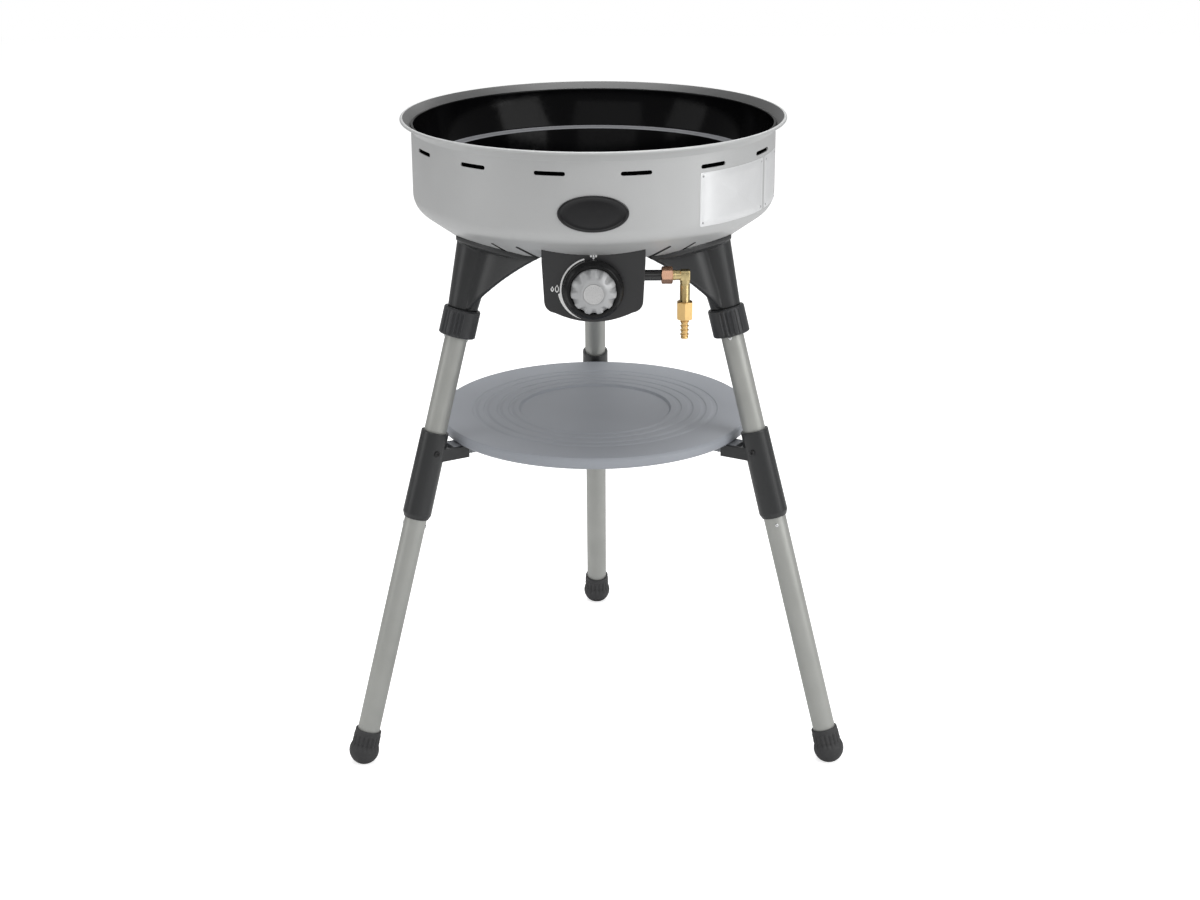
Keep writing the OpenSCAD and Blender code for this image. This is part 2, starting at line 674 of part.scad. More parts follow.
module hose_tail() {
    color([0.9, 0.72, 0.4]) translate([elbow_x, pipe_y, 0]) difference() {
        union() {
            translate([0, 0, barb_low]) cylinder(d = STEM_TUBE_D, h = tail_top - barb_low);
            translate([0, 0, tail_top - TAIL_HEAD_H]) cylinder(d = elbow_d - 1.4, h = TAIL_HEAD_H);
            translate([0, 0, barb_low]) cylinder(d = barb_d - 1, h = 2.5);
            for (i = [1:barbs]) translate([0, 0, barb_low + i * barb_pitch - 2.5])
                cylinder(d1 = STEM_TUBE_D, d2 = barb_d, h = 3);
        }
        translate([0, 0, barb_low - 1]) cylinder(d = 5, h = tail_top - barb_low + 2);
    }
}
module hose_seal() {
    color([0.1, 0.1, 0.1]) translate([elbow_x, pipe_y, tail_top]) pipe(elbow_d - 1.4, 6, SEAL_T);
}

// ---- Badge and plates ----
BADGE_W = 83;
BADGE_H = 43;
BADGE_T = 2;
// Drop of the badge's centre below the lip
BADGE_DROP = 61;
badge_z = lip_z - BADGE_DROP;
module front_badge() {
    color([0.05, 0.05, 0.05]) intersection() {
        bowl_skin(BADGE_T);
        translate([0, -body_r + 30, badge_z]) rotate([90, 0, 0]) linear_extrude(60)
            polygon(lens(BADGE_W / 2, BADGE_H / 2, 64));
    }
}
// A skin of thickness t against the outside of the bowl
module bowl_skin(t) {
    difference() {
        bowl_space(t);
        bowl_space(0);
    }
}
PLATE_T = 0.5;
PLATE_H = 64;
PLATE_TOP = 22;
// First and last bearing of each plate, from the front towards +X
PLATES = [[33.5, 64.5], [66, 80]];
module side_plates() {
    color([0.9, 0.9, 0.9]) for (p = PLATES) intersection() {
        bowl_skin(PLATE_T);
        translate([0, 0, lip_z - PLATE_TOP - PLATE_H]) linear_extrude(PLATE_H)
            polygon(concat([[0, 0]], [for (i = [0:4]) let (a = -90 + p[0] + (p[1] - p[0]) * i / 4)
                rim_r * 1.2 * [cos(a), sin(a)]]));
    }
}

// ---- Legs ----
leg_len = base_z / cos(splay);
foot_r = socket_r + base_z * tan(splay);
collar_top = leg_len - socket_len;
collar_low = collar_top - collar_len;
sleeve_top = collar_low - upper_shown;
sleeve_low = sleeve_top - sleeve_len;
tube_r = tube_d / 2;
// Local frame of a leg: its Z runs up the leg from the floor
module on_leg(bearing) {
    rotate([0, 0, bearing]) translate([foot_r, 0, 0]) rotate([0, -splay, 0]) children();
}
SPIGOT_T = 3.2;
SPIGOT_LEN = collar_len - 8;
spigot_d = tube_d + 2 * SPIGOT_T;
SOCKET_TOP_D = 53.8;
SOCKET_LOW_D = 37;
FLANGE_T = 5;
// A flange's outer and inner edges, measured from the leg axis at the bowl base
FLANGE_OUT = 30;
FLANGE_IN = 54;
// Half width and tip of a flange on the side without a wing
FLANGE_BACK = 78;
FLANGE_BACK_IN = 13;
// Distance of the leg axis from the centre at height z
function axis_r(z) = socket_r + (base_z - z) * tan(splay);
WING_T = 26;
WING_TIP_IN = 24;
wing_tip_z = base_z - 2;
// Height of the wing's foot above the foot of the socket
WING_UP = 6;
wing_foot_z = base_z - socket_len * cos(splay) + WING_UP;
WING_BEND = 18;
// Points of a cubic curve from a to d, drawn towards b and c
function cubic(a, b, c, d, n = 10) = [for (i = [0:n]) let (u = i / n, v = 1 - u)
    v * v * v * a + 3 * v * v * u * b + 3 * v * u * u * c + u * u * u * d];
// Lower edge of a wing from its tip to the foot of the socket: across the leg, height
function wing_edge() = let (drop = wing_tip_z - wing_foot_z) cubic(
    [wing_reach, wing_tip_z], [wing_reach * 0.62, wing_tip_z - drop * 0.56],
    [WING_BEND + 30, wing_foot_z + 3], [WING_BEND, wing_foot_z]);
// Plan of half a flange: its outer edge to the tip at reach, then its inner edge
function half_flange(reach, tip_in) = let (
        out = socket_r + FLANGE_OUT,
        in = socket_r - FLANGE_IN,
        tip = [socket_r - tip_in, reach])
    concat(cubic([out, 0], [out, reach * 0.4], [out - 15, reach * 0.75], tip),
        cubic(tip, [tip[0] - 17, reach * 0.84], [in, reach * 0.44], [in, 0]));
module wing() {
    band_low = wing_foot_z - 10;
    band_top = base_z + 20;
    intersection() {
        translate([0, 0, band_low]) linear_extrude(band_top - band_low)
            polygon(half_flange(wing_reach, WING_TIP_IN));
        rotate([90, 0, 90]) linear_extrude(rim_r)
            polygon(concat(wing_edge(), [[-1, wing_foot_z], [-1, band_top], [wing_reach, band_top]]));
        // Everything outside the cone on which the wing's inner face lies
        rotate_extrude() polygon([[axis_r(band_low) - WING_T / 2, band_low], [rim_r, band_low],
            [rim_r, band_top], [axis_r(band_top) - WING_T / 2, band_top]]);
    }
}
module socket_flange(reach, tip_in) {
    intersection() {
        bowl_space(FLANGE_T);
        translate([0, 0, base_z - FLANGE_T - 1]) linear_extrude(FLANGE_T + 30)
            polygon(half_flange(reach, tip_in));
    }
}
// Half of a socket's top, on the side that the +Y half of its leg's frame shows
module socket_half(winged) {
    if (winged) {
        wing();
        socket_flange(wing_reach, WING_TIP_IN);
    } else {
        socket_flange(FLANGE_BACK, FLANGE_BACK_IN);
        translate([SOCKET_SCREW_X, SOCKET_SCREW_Y, base_z - SOCKET_BOSS_H])
            cylinder(d = SOCKET_BOSS_D, h = SOCKET_BOSS_H - FLANGE_T / 2);
    }
}
// Room for the union nut on the inlet pipe
NUT_ROOM = 1;
module gas_line_space() {
    translate([panel_w / 2, pipe_y, pipe_z]) rotate([0, 90, 0])
        cylinder(d = nut_af / cos(30) + 2 * NUT_ROOM, h = elbow_x - panel_w / 2);
}
module leg_socket(bearing) {
    color([0.16, 0.165, 0.17]) difference() {
        union() {
            rotate([0, 0, bearing]) socket_half(bearing != RIGHT);
            rotate([0, 0, bearing]) mirror([0, 1, 0]) socket_half(bearing != LEFT);
            on_leg(bearing) translate([0, 0, collar_top])
                cylinder(d1 = SOCKET_LOW_D, d2 = SOCKET_TOP_D, h = socket_len + 24);
            on_leg(bearing) translate([0, 0, collar_top - SPIGOT_LEN])
                cylinder(d = spigot_d, h = SPIGOT_LEN + 1);
        }
        bowl_space(0);
        gas_line_space();
        // Nothing but the spigot reaches into the collar's place
        on_leg(bearing) translate([0, 0, collar_top - collar_len])
            pipe(2 * SOCKET_TOP_D, spigot_d, collar_len);
        on_leg(bearing) translate([0, 0, collar_top - SPIGOT_LEN - 1])
            cylinder(d = tube_d + 2 * run_gap, h = plug_len + 2);
        rotate([0, 0, bearing]) socket_screw_holes();
    }
}
SOCKET_SCREW_X = socket_r - 11;
SOCKET_SCREW_Y = 62;
SOCKET_SCREW_LEN = 18;
SOCKET_BOSS_D = 12;
SOCKET_BOSS_H = SOCKET_SCREW_LEN + 2;
module at_socket_screws() {
    for (b = BEARINGS) rotate([0, 0, b]) socket_screw_places() children();
}
module socket_screw_places() {
    for (s = [-1, 1]) translate([SOCKET_SCREW_X, s * SOCKET_SCREW_Y, 0]) children();
}
module socket_screw_holes() {
    socket_screw_places() translate([0, 0, base_z - SOCKET_SCREW_LEN + bowl_t - 1])
        cylinder(d = screw_d + 2 * fit_gap, h = SOCKET_SCREW_LEN + 10);
}
module socket_screws() {
    color([0.7, 0.7, 0.7]) at_socket_screws() {
        translate([0, 0, base_z + bowl_t]) cylinder(d = 10, h = 3.2, $fn = 32);
        translate([0, 0, base_z + bowl_t - SOCKET_SCREW_LEN])
            cylinder(d = screw_d, h = SOCKET_SCREW_LEN + 1);
    }
}
COLLAR_RIBS = 24;
COLLAR_RIB_W = 3.4;
COLLAR_LIP = 5;
collar_core_d = collar_d - 2.4;
module clamp_collar(bearing) {
    color([0.17, 0.175, 0.18]) on_leg(bearing) translate([0, 0, collar_low]) difference() {
        union() {
            cylinder(d = collar_core_d, h = collar_len - run_gap);
            ring(COLLAR_RIBS) translate([collar_core_d / 2 - 0.6, -COLLAR_RIB_W / 2, 2])
                cube([1.8, COLLAR_RIB_W, collar_len - 6]);
        }
        translate([0, 0, COLLAR_LIP]) cylinder(d = spigot_d + 2 * run_gap, h = collar_len);
        translate([0, 0, -1]) cylinder(d = tube_d + 2 * run_gap, h = collar_len);
    }
}
spigot_low = collar_top - SPIGOT_LEN;
module upper_tube(bearing, turn) {
    low = sleeve_top - sleeve_grip;
    top = spigot_low + plug_len;
    color([0.62, 0.63, 0.63]) on_leg(bearing) difference() {
        translate([0, 0, low]) pipe(tube_d, tube_d - 2 * tube_t, top - low);
        translate([0, 0, upper_pin_at]) pin_hole(turn);
    }
}
lower_tube_top = sleeve_low + sleeve_grip;
module lower_tube(bearing, turn) {
    color([0.62, 0.63, 0.63]) on_leg(bearing) difference() {
        translate([0, 0, FOOT_FLOOR]) pipe(tube_d, tube_d - 2 * tube_t, lower_tube_top - FOOT_FLOOR);
        translate([0, 0, lower_pin_at]) pin_hole(turn);
    }
}
// A pin through both walls of a tube, its chamfered ends standing proud
PIN_CHAMFER = 0.8;
module stop_pin(turn) {
    straight = tube_r + pin_proud - PIN_CHAMFER;
    rotate([90, 0, turn]) {
        translate([0, 0, -straight]) cylinder(d = pin_d, h = 2 * straight, $fn = 32);
        for (s = [0, 180]) rotate([s, 0, 0]) translate([0, 0, straight])
            cylinder(d1 = pin_d, d2 = pin_d - 2 * PIN_CHAMFER, h = PIN_CHAMFER, $fn = 32);
    }
}
module pin_hole(turn) {
    rotate([90, 0, turn]) translate([0, 0, -tube_d])
        cylinder(d = pin_d + 2 * fit_gap, h = 2 * tube_d, $fn = 32);
}
upper_pin_at = collar_low - pin_d / 2 - 0.4;
lower_pin_at = sleeve_low - pin_d / 2 - 7;
module upper_pin(bearing, turn) {
    color([0.8, 0.8, 0.8]) on_leg(bearing) translate([0, 0, upper_pin_at]) stop_pin(turn);
}
module lower_pin(bearing, turn) {
    color([0.8, 0.8, 0.8]) on_leg(bearing) translate([0, 0, lower_pin_at]) stop_pin(turn);
}

// ---- Sleeves, arms and feet ----
// Height above the floor of a point at distance s along a leg axis
function leg_z(s) = s * cos(splay);
arm_top_z = leg_z(sleeve_top) - arm_drop;
arm_low_z = arm_top_z - arm_h;
SLEEVE_CHAMFER = 6;
module sleeve(bearing) {
    color([0.18, 0.185, 0.19]) difference() {
        union() {
            on_leg(bearing) translate([0, 0, sleeve_low]) {
                cylinder(d1 = sleeve_d - 5, d2 = sleeve_d, h = SLEEVE_CHAMFER);
                translate([0, 0, SLEEVE_CHAMFER]) cylinder(d1 = sleeve_d, d2 = sleeve_d - 1.5,
                    h = sleeve_len - SLEEVE_CHAMFER);
                // Mould seam on the outer side
                translate([sleeve_d / 2 - 1.6, -1, SLEEVE_CHAMFER])
                    cube([2.2, 2, sleeve_len - SLEEVE_CHAMFER - 4]);
            }
            rotate([0, 0, bearing]) arm();
        }
        on_leg(bearing) translate([0, 0, sleeve_low - 1])
            cylinder(d = tube_d + 2 * run_gap, h = sleeve_grip + 1 + run_gap);
        on_leg(bearing) translate([0, 0, sleeve_top - sleeve_grip - fit_gap])
            cylinder(d = tube_d + 2 * fit_gap, h = sleeve_grip + 20);
        sleeve_screw_space(bearing);
    }
}
// Distance of the leg axis from the centre at the arms' top
arm_axis_r = axis_r(arm_top_z);
arm_end_r = arm_axis_r - arm_len;
// A channel, open at the top and at its inner end
module arm() {
    root_r = arm_axis_r - 4;
    difference() {
        translate([arm_end_r, -arm_w / 2, arm_low_z]) cube([root_r - arm_end_r, arm_w, arm_h]);
        translate([arm_end_r - 1, -arm_w / 2 + arm_t, arm_low_z + arm_t])
            cube([arm_len - sleeve_d / 2 - 2 + 1, arm_w - 2 * arm_t, arm_h]);
    }
}
SLEEVE_SCREW_D = 7;
SLEEVE_SHANK_D = 4;
sleeve_screw_at = sleeve_top - arm_drop - 3.5;
// Frame of a sleeve's screw: Z points out of the sleeve's side
module at_sleeve_screw(bearing) {
    on_leg(bearing) translate([0, 0, sleeve_screw_at])
        rotate([bearing == RIGHT ? 90 : -90, 0, 0]) children();
}
module sleeve_screw_space(bearing) {
    at_sleeve_screw(bearing) translate([0, 0, tube_r + 2 * run_gap])
        cylinder(d = SLEEVE_SHANK_D + 2 * fit_gap, h = 20);
}
module sleeve_screw(bearing) {
    head_at = sleeve_d / 2 + 0.1;
    color([0.25, 0.25, 0.26]) at_sleeve_screw(bearing) {
        translate([0, 0, head_at])
            cylinder(d1 = SLEEVE_SCREW_D, d2 = SLEEVE_SCREW_D - 1.5, h = 2.2, $fn = 32);
        translate([0, 0, tube_r + 3 * run_gap])
            cylinder(d = SLEEVE_SHANK_D, h = head_at - tube_r, $fn = 32);
    }
}
FOOT_FLOOR = 10;
FOOT_TOP_D = tube_d + 5;
FOOT_RIBS = 18;
foot_ball_r = foot_d / 2;
foot_ball_at = foot_ball_r - 2;
module foot(bearing) {
    color([0.16, 0.16, 0.165]) intersection() {
        on_leg(bearing) difference() {
            union() {
                translate([0, 0, foot_ball_at]) sphere(r = foot_ball_r);
                translate([0, 0, foot_ball_at]) cylinder(d1 = foot_d, d2 = FOOT_TOP_D, h = 10);
                translate([0, 0, foot_ball_at + 9])
                    cylinder(d = FOOT_TOP_D, h = foot_len - foot_ball_at - 9);
                ring(FOOT_RIBS) translate([FOOT_TOP_D / 2 - 0.5, -0.8, foot_ball_at + 6])
                    cube([1.4, 1.6, foot_len - foot_ball_at - 10]);
            }
            translate([0, 0, FOOT_FLOOR - fit_gap]) cylinder(d = tube_d + 2 * fit_gap, h = foot_len);
        }
        // The flat that stands on the floor
        translate([-2 * foot_r, -2 * foot_r, 0]) cube([4 * foot_r, 4 * foot_r, 2 * foot_len]);
    }
}

// ---- Shelf ----
shelf_low_z = arm_top_z + run_gap;
shelf_top_z = shelf_low_z + tray_t;
tray_r = arm_axis_r - sleeve_d / 2 - tray_gap;
SHELF_EDGE = 3;
RING_STEP = 0.8;
// Distances of the ring steps outside the recess
RING_OUT = [14, 29, 46, 60];
RING_SLOPE = 1.2;
module shelf() {
    color([0.55, 0.57, 0.6]) difference() {
        rotate_extrude() polygon(concat(
            [[0, shelf_low_z], [tray_r - SHELF_EDGE, shelf_low_z], [tray_r, shelf_low_z + SHELF_EDGE],
             [tray_r, shelf_top_z - SHELF_EDGE], [tray_r - SHELF_EDGE, shelf_top_z]],
            ring_steps(), [[recess_d / 2, shelf_top_z - RING_STEP],
             [recess_d / 2 - 1, shelf_top_z - recess_depth], [0, shelf_top_z - recess_depth]]));
        at_shelf_screws() translate([0, 0, shelf_low_z - 1])
            cylinder(d = SHELF_SCREW_D + 2 * fit_gap, h = SHELF_SCREW_IN + 1.5);
    }
}
// Shallow steps between the edge and the recess
function ring_steps() = [for (i = [len(RING_OUT) - 1:-1:0], s = [1, 0])
    [recess_d / 2 + RING_OUT[i] + RING_SLOPE * s, shelf_top_z - RING_STEP * (1 - s)]];
// ---- Shelf tabs ----
// Length of a tab beyond the arm's open end
TAB_BEYOND = 17;
TAB_IN = arm_end_r - TAB_BEYOND;
TAB_OUT = arm_axis_r - sleeve_d / 2 - 7.5;
TAB_WIDTH = arm_w - 2 * arm_t - 2 * run_gap;
TAB_RIBS = 4;
TAB_RIB_PITCH = 3.6;
tab_low_z = arm_low_z + arm_t + run_gap;
// Each tab reaches down into the open top of an arm
module shelf_brackets() {
    color([0.58, 0.6, 0.62]) difference() {
        for (b = BEARINGS) rotate([0, 0, b]) shelf_tab();
        at_shelf_screws() {
            translate([0, 0, tab_low_z - 1])
                cylinder(d = SHELF_SCREW_D + 2 * fit_gap, h = shelf_low_z - tab_low_z + 2);
            translate([0, 0, tab_low_z - 1])
                cylinder(d = SHELF_HEAD_D + 2 * fit_gap, h = SHELF_HEAD_UP + 1);
        }
    }
}
module shelf_tab() {
    tab_h = shelf_low_z - tab_low_z;
    difference() {
        union() {
            translate([TAB_IN, -TAB_WIDTH / 2, tab_low_z]) cube([TAB_OUT - TAB_IN, TAB_WIDTH, tab_h]);
            for (i = [0:TAB_RIBS - 1])
                translate([TAB_IN + 1 + i * TAB_RIB_PITCH, -TAB_WIDTH / 2 - 1, tab_low_z])
                    cube([1.6, TAB_WIDTH + 2, tab_h]);
        }
        translate([TAB_IN - 1, -arm_w, tab_low_z - 1]) rotate([0, -45, 0]) cube([12, 2 * arm_w, 12]);
    }
}
SHELF_SCREW_R = arm_end_r + 4;
SHELF_SCREW_D = 4;
SHELF_SCREW_IN = 6;
SHELF_HEAD_D = 7;
SHELF_HEAD_UP = 3;
module at_shelf_screws() {
    for (b = BEARINGS) rotate([0, 0, b]) translate([SHELF_SCREW_R, 0, 0]) children();
}
module shelf_screws() {
    shank_len = shelf_low_z + SHELF_SCREW_IN - tab_low_z - 1;
    color([0.7, 0.7, 0.7]) at_shelf_screws() {
        translate([0, 0, tab_low_z + 0.5]) cylinder(d = SHELF_HEAD_D, h = SHELF_HEAD_UP - 0.5, $fn = 32);
        translate([0, 0, tab_low_z + 1]) cylinder(d = SHELF_SCREW_D, h = shank_len, $fn = 32);
    }
}

bowl_shell();
pan();
burner_tube();
burner_head();
burner_cap();
burner_bracket();
bracket_screws();
igniter_electrode();
igniter_lead();
igniter_box();
valve_panel();
panel_screws();
gas_valve();
gas_jet();
valve_plug();
valve_spring();
valve_stem();
knob_skirt();
knob_grip();
knob_face();
inlet_pipe();
inlet_nut();
inlet_elbow();
hose_nut();
hose_tail();
hose_seal();
front_badge();
side_plates();
socket_screws();
leg_socket(LEFT);  // leg_socket_left
leg_socket(RIGHT);  // leg_socket_right
leg_socket(REAR);  // leg_socket_rear
clamp_collar(LEFT);  // clamp_collar_left
clamp_collar(RIGHT);  // clamp_collar_right
clamp_collar(REAR);  // clamp_collar_rear
upper_tube(LEFT, UPPER_PIN_TURN[0]);  // upper_tube_left
upper_tube(RIGHT, UPPER_PIN_TURN[1]);  // upper_tube_right
upper_tube(REAR, UPPER_PIN_TURN[2]);  // upper_tube_rear
upper_pin(LEFT, UPPER_PIN_TURN[0]);  // upper_pin_left
upper_pin(RIGHT, UPPER_PIN_TURN[1]);  // upper_pin_right
upper_pin(REAR, UPPER_PIN_TURN[2]);  // upper_pin_rear
sleeve(LEFT);  // sleeve_left
sleeve(RIGHT);  // sleeve_right
sleeve(REAR);  // sleeve_rear
sleeve_screw(LEFT);  // sleeve_screw_left
sleeve_screw(RIGHT);  // sleeve_screw_right
sleeve_screw(REAR);  // sleeve_screw_rear
lower_tube(LEFT, LOWER_PIN_TURN[0]);  // lower_tube_left
lower_tube(RIGHT, LOWER_PIN_TURN[1]);  // lower_tube_right
lower_tube(REAR, LOWER_PIN_TURN[2]);  // lower_tube_rear
lower_pin(LEFT, LOWER_PIN_TURN[0]);  // lower_pin_left
lower_pin(RIGHT, LOWER_PIN_TURN[1]);  // lower_pin_right
lower_pin(REAR, LOWER_PIN_TURN[2]);  // lower_pin_rear
foot(LEFT);  // foot_left
foot(RIGHT);  // foot_right
foot(REAR);  // foot_rear
shelf();
shelf_brackets();
shelf_screws();
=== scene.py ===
"""Visual model of a portable tripod gas grill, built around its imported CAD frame.

Sizes are in millimetres until a mesh is made. Every shape is given at its place in the
frame: the origin is on the floor at the centre of the tripod, +Z is up and the valve
panel faces -Y.
"""

from math import atan, cos, degrees, exp, hypot, pi, radians, sin, sqrt, tan

import bmesh
import bpy
from mathutils import Matrix, Vector


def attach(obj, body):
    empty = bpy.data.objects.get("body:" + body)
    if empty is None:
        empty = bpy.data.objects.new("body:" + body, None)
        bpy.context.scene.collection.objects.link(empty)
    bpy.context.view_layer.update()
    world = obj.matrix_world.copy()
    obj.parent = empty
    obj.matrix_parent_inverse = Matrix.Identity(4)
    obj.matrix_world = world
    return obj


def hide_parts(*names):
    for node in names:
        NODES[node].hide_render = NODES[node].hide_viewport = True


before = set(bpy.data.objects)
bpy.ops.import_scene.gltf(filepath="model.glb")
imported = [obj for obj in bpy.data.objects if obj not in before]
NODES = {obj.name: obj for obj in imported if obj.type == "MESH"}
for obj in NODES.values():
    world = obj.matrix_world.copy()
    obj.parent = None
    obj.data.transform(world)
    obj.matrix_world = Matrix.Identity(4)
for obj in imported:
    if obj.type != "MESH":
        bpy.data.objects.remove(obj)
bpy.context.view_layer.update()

MM = 0.001

# ---- Sizes shared with the CAD source ----
RIM_Z, RIM_R, BODY_R, BASE_R = 800.0, 237.0, 224.5, 178.5
LIP_Z, CORNER_Z, CORNER_R = 787.0, 707.0, 25.0
CONE = radians(36)
SHEET = 1.6
BEAD_R = 1.9
CONE_TOP_R = BODY_R - CORNER_R * (1 - sin(CONE))
CONE_TOP_Z = CORNER_Z - CORNER_R * cos(CONE)
BASE_Z = CONE_TOP_Z - (CONE_TOP_R - BASE_R) * tan(CONE)
BURNER_HOLE_R = 38.0
SIDE_SLOTS, SIDE_SLOT_LEN, SIDE_SLOT_W = 14, 37, 5
CONE_SLOT_W = 5.5
CONE_SLOT_Y = (109.0, 78.0)
SPLAY = radians(15.6)
SOCKET_R = 163.0
# Where a socket's screws stand: outwards from the bowl's axis and to each side
SCREW_R, SCREW_SIDE = 152.0, 62.0
FOOT_R = SOCKET_R + BASE_Z * tan(SPLAY)
LEG_LEN = BASE_Z / cos(SPLAY)
LEGS = {"left": 210, "right": 330, "rear": 90}
# Turn of each leg's pins about the tube
UPPER_PIN_TURN = {"left": 60, "right": 15, "rear": 0}
LOWER_PIN_TURN = {"left": 60, "right": 30, "rear": 0}
COLLAR_TOP = LEG_LEN - 85
COLLAR_LOW = COLLAR_TOP - 35
SPIGOT_LOW = COLLAR_TOP - 27
SLEEVE_TOP = COLLAR_LOW - 123
SLEEVE_LOW = SLEEVE_TOP - 113
TUBE_R, TUBE_WALL = 14.0, 1.5
TUBE_LOW, TUBE_IN_SLEEVE, TUBE_IN_SOCKET = 10, 50, 62
PIN_R, PIN_PROUD = 2.3, 1.3
VALVE_Z = BASE_Z - 32
PANEL_Y = -190.0
PIPE_Y, PIPE_Z = -168.0, VALVE_Z + 10
HEAD_Z = BASE_Z + 26
SHELF_LOW = 405.592
SHELF_TOP = SHELF_LOW + 14


# ---- Mesh helpers ----
def soften(points, steps=4):
    """A closed polygon with rounded corners, from points of (x, y, radius of the corner)"""
    out = []
    count = len(points)
    for i, (x, y, radius) in enumerate(points):
        corner = Vector((x, y))
        before = Vector(points[i - 1][:2]) - corner
        after = Vector(points[(i + 1) % count][:2]) - corner
        sharp = radius <= 0 or min(before.length, after.length) < 1e-6
        half = 0 if sharp else before.angle(after) / 2
        if sharp or half > radians(88):
            out.append((corner.x, corner.y))
            continue
        reach = min(radius / tan(half), before.length * 0.48, after.length * 0.48)
        real = reach * tan(half)
        middle = (before.normalized() + after.normalized()).normalized()
        centre = corner + middle * (real / sin(half))
        start = corner + before.normalized() * reach - centre
        end = corner + after.normalized() * reach - centre
        sweep = start.angle_signed(end)
        for k in range(steps + 1):
            turned = start.copy()
            turned.rotate(Matrix.Rotation(-sweep * k / steps, 2))
            out.append((centre.x + turned.x, centre.y + turned.y))
    return out


def lathe(profile, segs=96, shape=None):
    """A solid turned about Z from a closed profile of (r, z); shape(r, z, turn) may change r"""
    verts, faces, rings = [], [], []
    for r, z in profile:
        if abs(r) < 1e-6:
            rings.append([len(verts)])
            verts.append((0.0, 0.0, z))
            continue
        ring = []
        for k in range(segs):
            turn = 2 * pi * k / segs
            reach = shape(r, z, turn) if shape else r
            ring.append(len(verts))
            verts.append((reach * cos(turn), reach * sin(turn), z))
        rings.append(ring)
    for i, lower in enumerate(rings):
        upper = rings[(i + 1) % len(rings)]
        if len(lower) == 1 and len(upper) == 1:
            continue
        for k in range(segs):
            n = (k + 1) % segs
            if len(lower) == 1:
                faces.append((lower[0], upper[k], upper[n]))
            elif len(upper) == 1:
                faces.append((lower[k], lower[n], upper[0]))
            else:
                faces.append((lower[k], lower[n], upper[n], upper[k]))
    return verts, faces


def prism(outline, low, high):
    """An outline in XY drawn up from low to high"""
    count = len(outline)
    verts = [(x, y, low) for x, y in outline] + [(x, y, high) for x, y in outline]
    faces = [tuple(range(count)), tuple(range(count, 2 * count))]
    faces += [(i, (i + 1) % count, count + (i + 1) % count, count + i) for i in range(count)]
    return verts, faces


def bevelled(geometry, width, sharp):
    """The same solid with its sharp edges rounded"""
    mesh = bpy.data.meshes.new("work")
    mesh.from_pydata(geometry[0], [], geometry[1])
    work = bmesh.new()
    work.from_mesh(mesh)
    bmesh.ops.recalc_face_normals(work, faces=work.faces)
    edges = [e for e in work.edges
             if len(e.link_faces) == 2 and e.calc_face_angle() > radians(sharp)]
    bmesh.ops.bevel(work, geom=edges, offset=width, segments=3, profile=0.5,
                    affect="EDGES", clamp_overlap=True)
    verts = [tuple(v.co) for v in work.verts]
    work.verts.index_update()
    faces = [tuple(v.index for v in f.verts) for f in work.faces]
    work.free()
    bpy.data.meshes.remove(mesh)
    return verts, faces


def moved(geometry, matrix):
    verts, faces = geometry
    return [tuple(matrix @ Vector(v)) for v in verts], faces


def joined(*parts):
    """Several solids as one mesh"""
    verts, faces = [], []
    for part_verts, part_faces in parts:
        base = len(verts)
        verts += part_verts
        faces += [tuple(base + i for i in face) for face in part_faces]
    return verts, faces


def shift(x=0.0, y=0.0, z=0.0):
    return Matrix.Translation((x, y, z))


def turn(angle, axis="Z"):
    """A turn by an angle in degrees"""
    return Matrix.Rotation(radians(angle), 4, axis)


def leg(name):
    """Frame of a leg: its Z runs up the leg from the floor"""
    return turn(LEGS[name]) @ shift(FOOT_R) @ Matrix.Rotation(-SPLAY, 4, "Y")


def facing_front(y, z):
    """Frame whose Z points out of the panel, towards -Y"""
    return shift(0, y, z) @ turn(90, "X")


def shade(mesh, angle):
    mesh.polygons.foreach_set("use_smooth", [True] * len(mesh.polygons))
    mesh.set_sharp_from_angle(angle=radians(angle))


def tidy_mesh(mesh):
    """Outward normals and no doubled vertices"""
    work = bmesh.new()
    work.from_mesh(mesh)
    bmesh.ops.remove_doubles(work, verts=work.verts, dist=1e-7)
    bmesh.ops.recalc_face_normals(work, faces=work.faces)
    work.to_mesh(mesh)
    work.free()


def added(name, data):
    """A new object in the scene"""
    thing = bpy.data.objects.new(name, data)
    bpy.context.scene.collection.objects.link(thing)
    return thing


def raw_object(name, geometry):
    """An object in metres from a solid in millimetres"""
    verts, faces = geometry
    mesh = bpy.data.meshes.new(name)
    mesh.from_pydata([(x * MM, y * MM, z * MM) for x, y, z in verts], [], faces)
    tidy_mesh(mesh)
    return added(name, mesh)


def apply_modifiers(piece):
    graph = bpy.context.evaluated_depsgraph_get()
    mesh = bpy.data.meshes.new_from_object(piece.evaluated_get(graph))
    piece.modifiers.clear()
    piece.data = mesh


def carve(piece, geometry, operation="DIFFERENCE"):
    """Cuts a solid out of a piece, or keeps only what the two share"""
    cutter = raw_object("cutter", geometry)
    step = piece.modifiers.new("cut", "BOOLEAN")
    step.operation = operation
    step.solver = "EXACT"
    step.object = cutter
    apply_modifiers(piece)
    bpy.data.objects.remove(cutter)


def dress(piece, material, body, node=None, angle=38):
    """Gives a mesh its material, body and CAD node; its slot is the material's name"""
    piece.data.materials.clear()
    piece.data.materials.append(MATERIALS[material])
    shade(piece.data, angle)
    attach(piece, body)
    if node:
        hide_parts(node)


def make(name, geometry, material, body, node=None, angle=38):
    dress(raw_object(name, geometry), material, body, node, angle)


def remeshed(piece, voxel, rounds):
    """One skin round a piece, with its edges rounded as a moulding's are"""
    remesh = piece.modifiers.new("voxels", "REMESH")
    remesh.mode = "VOXEL"
    remesh.voxel_size = voxel * MM
    relax = piece.modifiers.new("relax", "SMOOTH")
    relax.factor = 0.5
    relax.iterations = rounds
    apply_modifiers(piece)


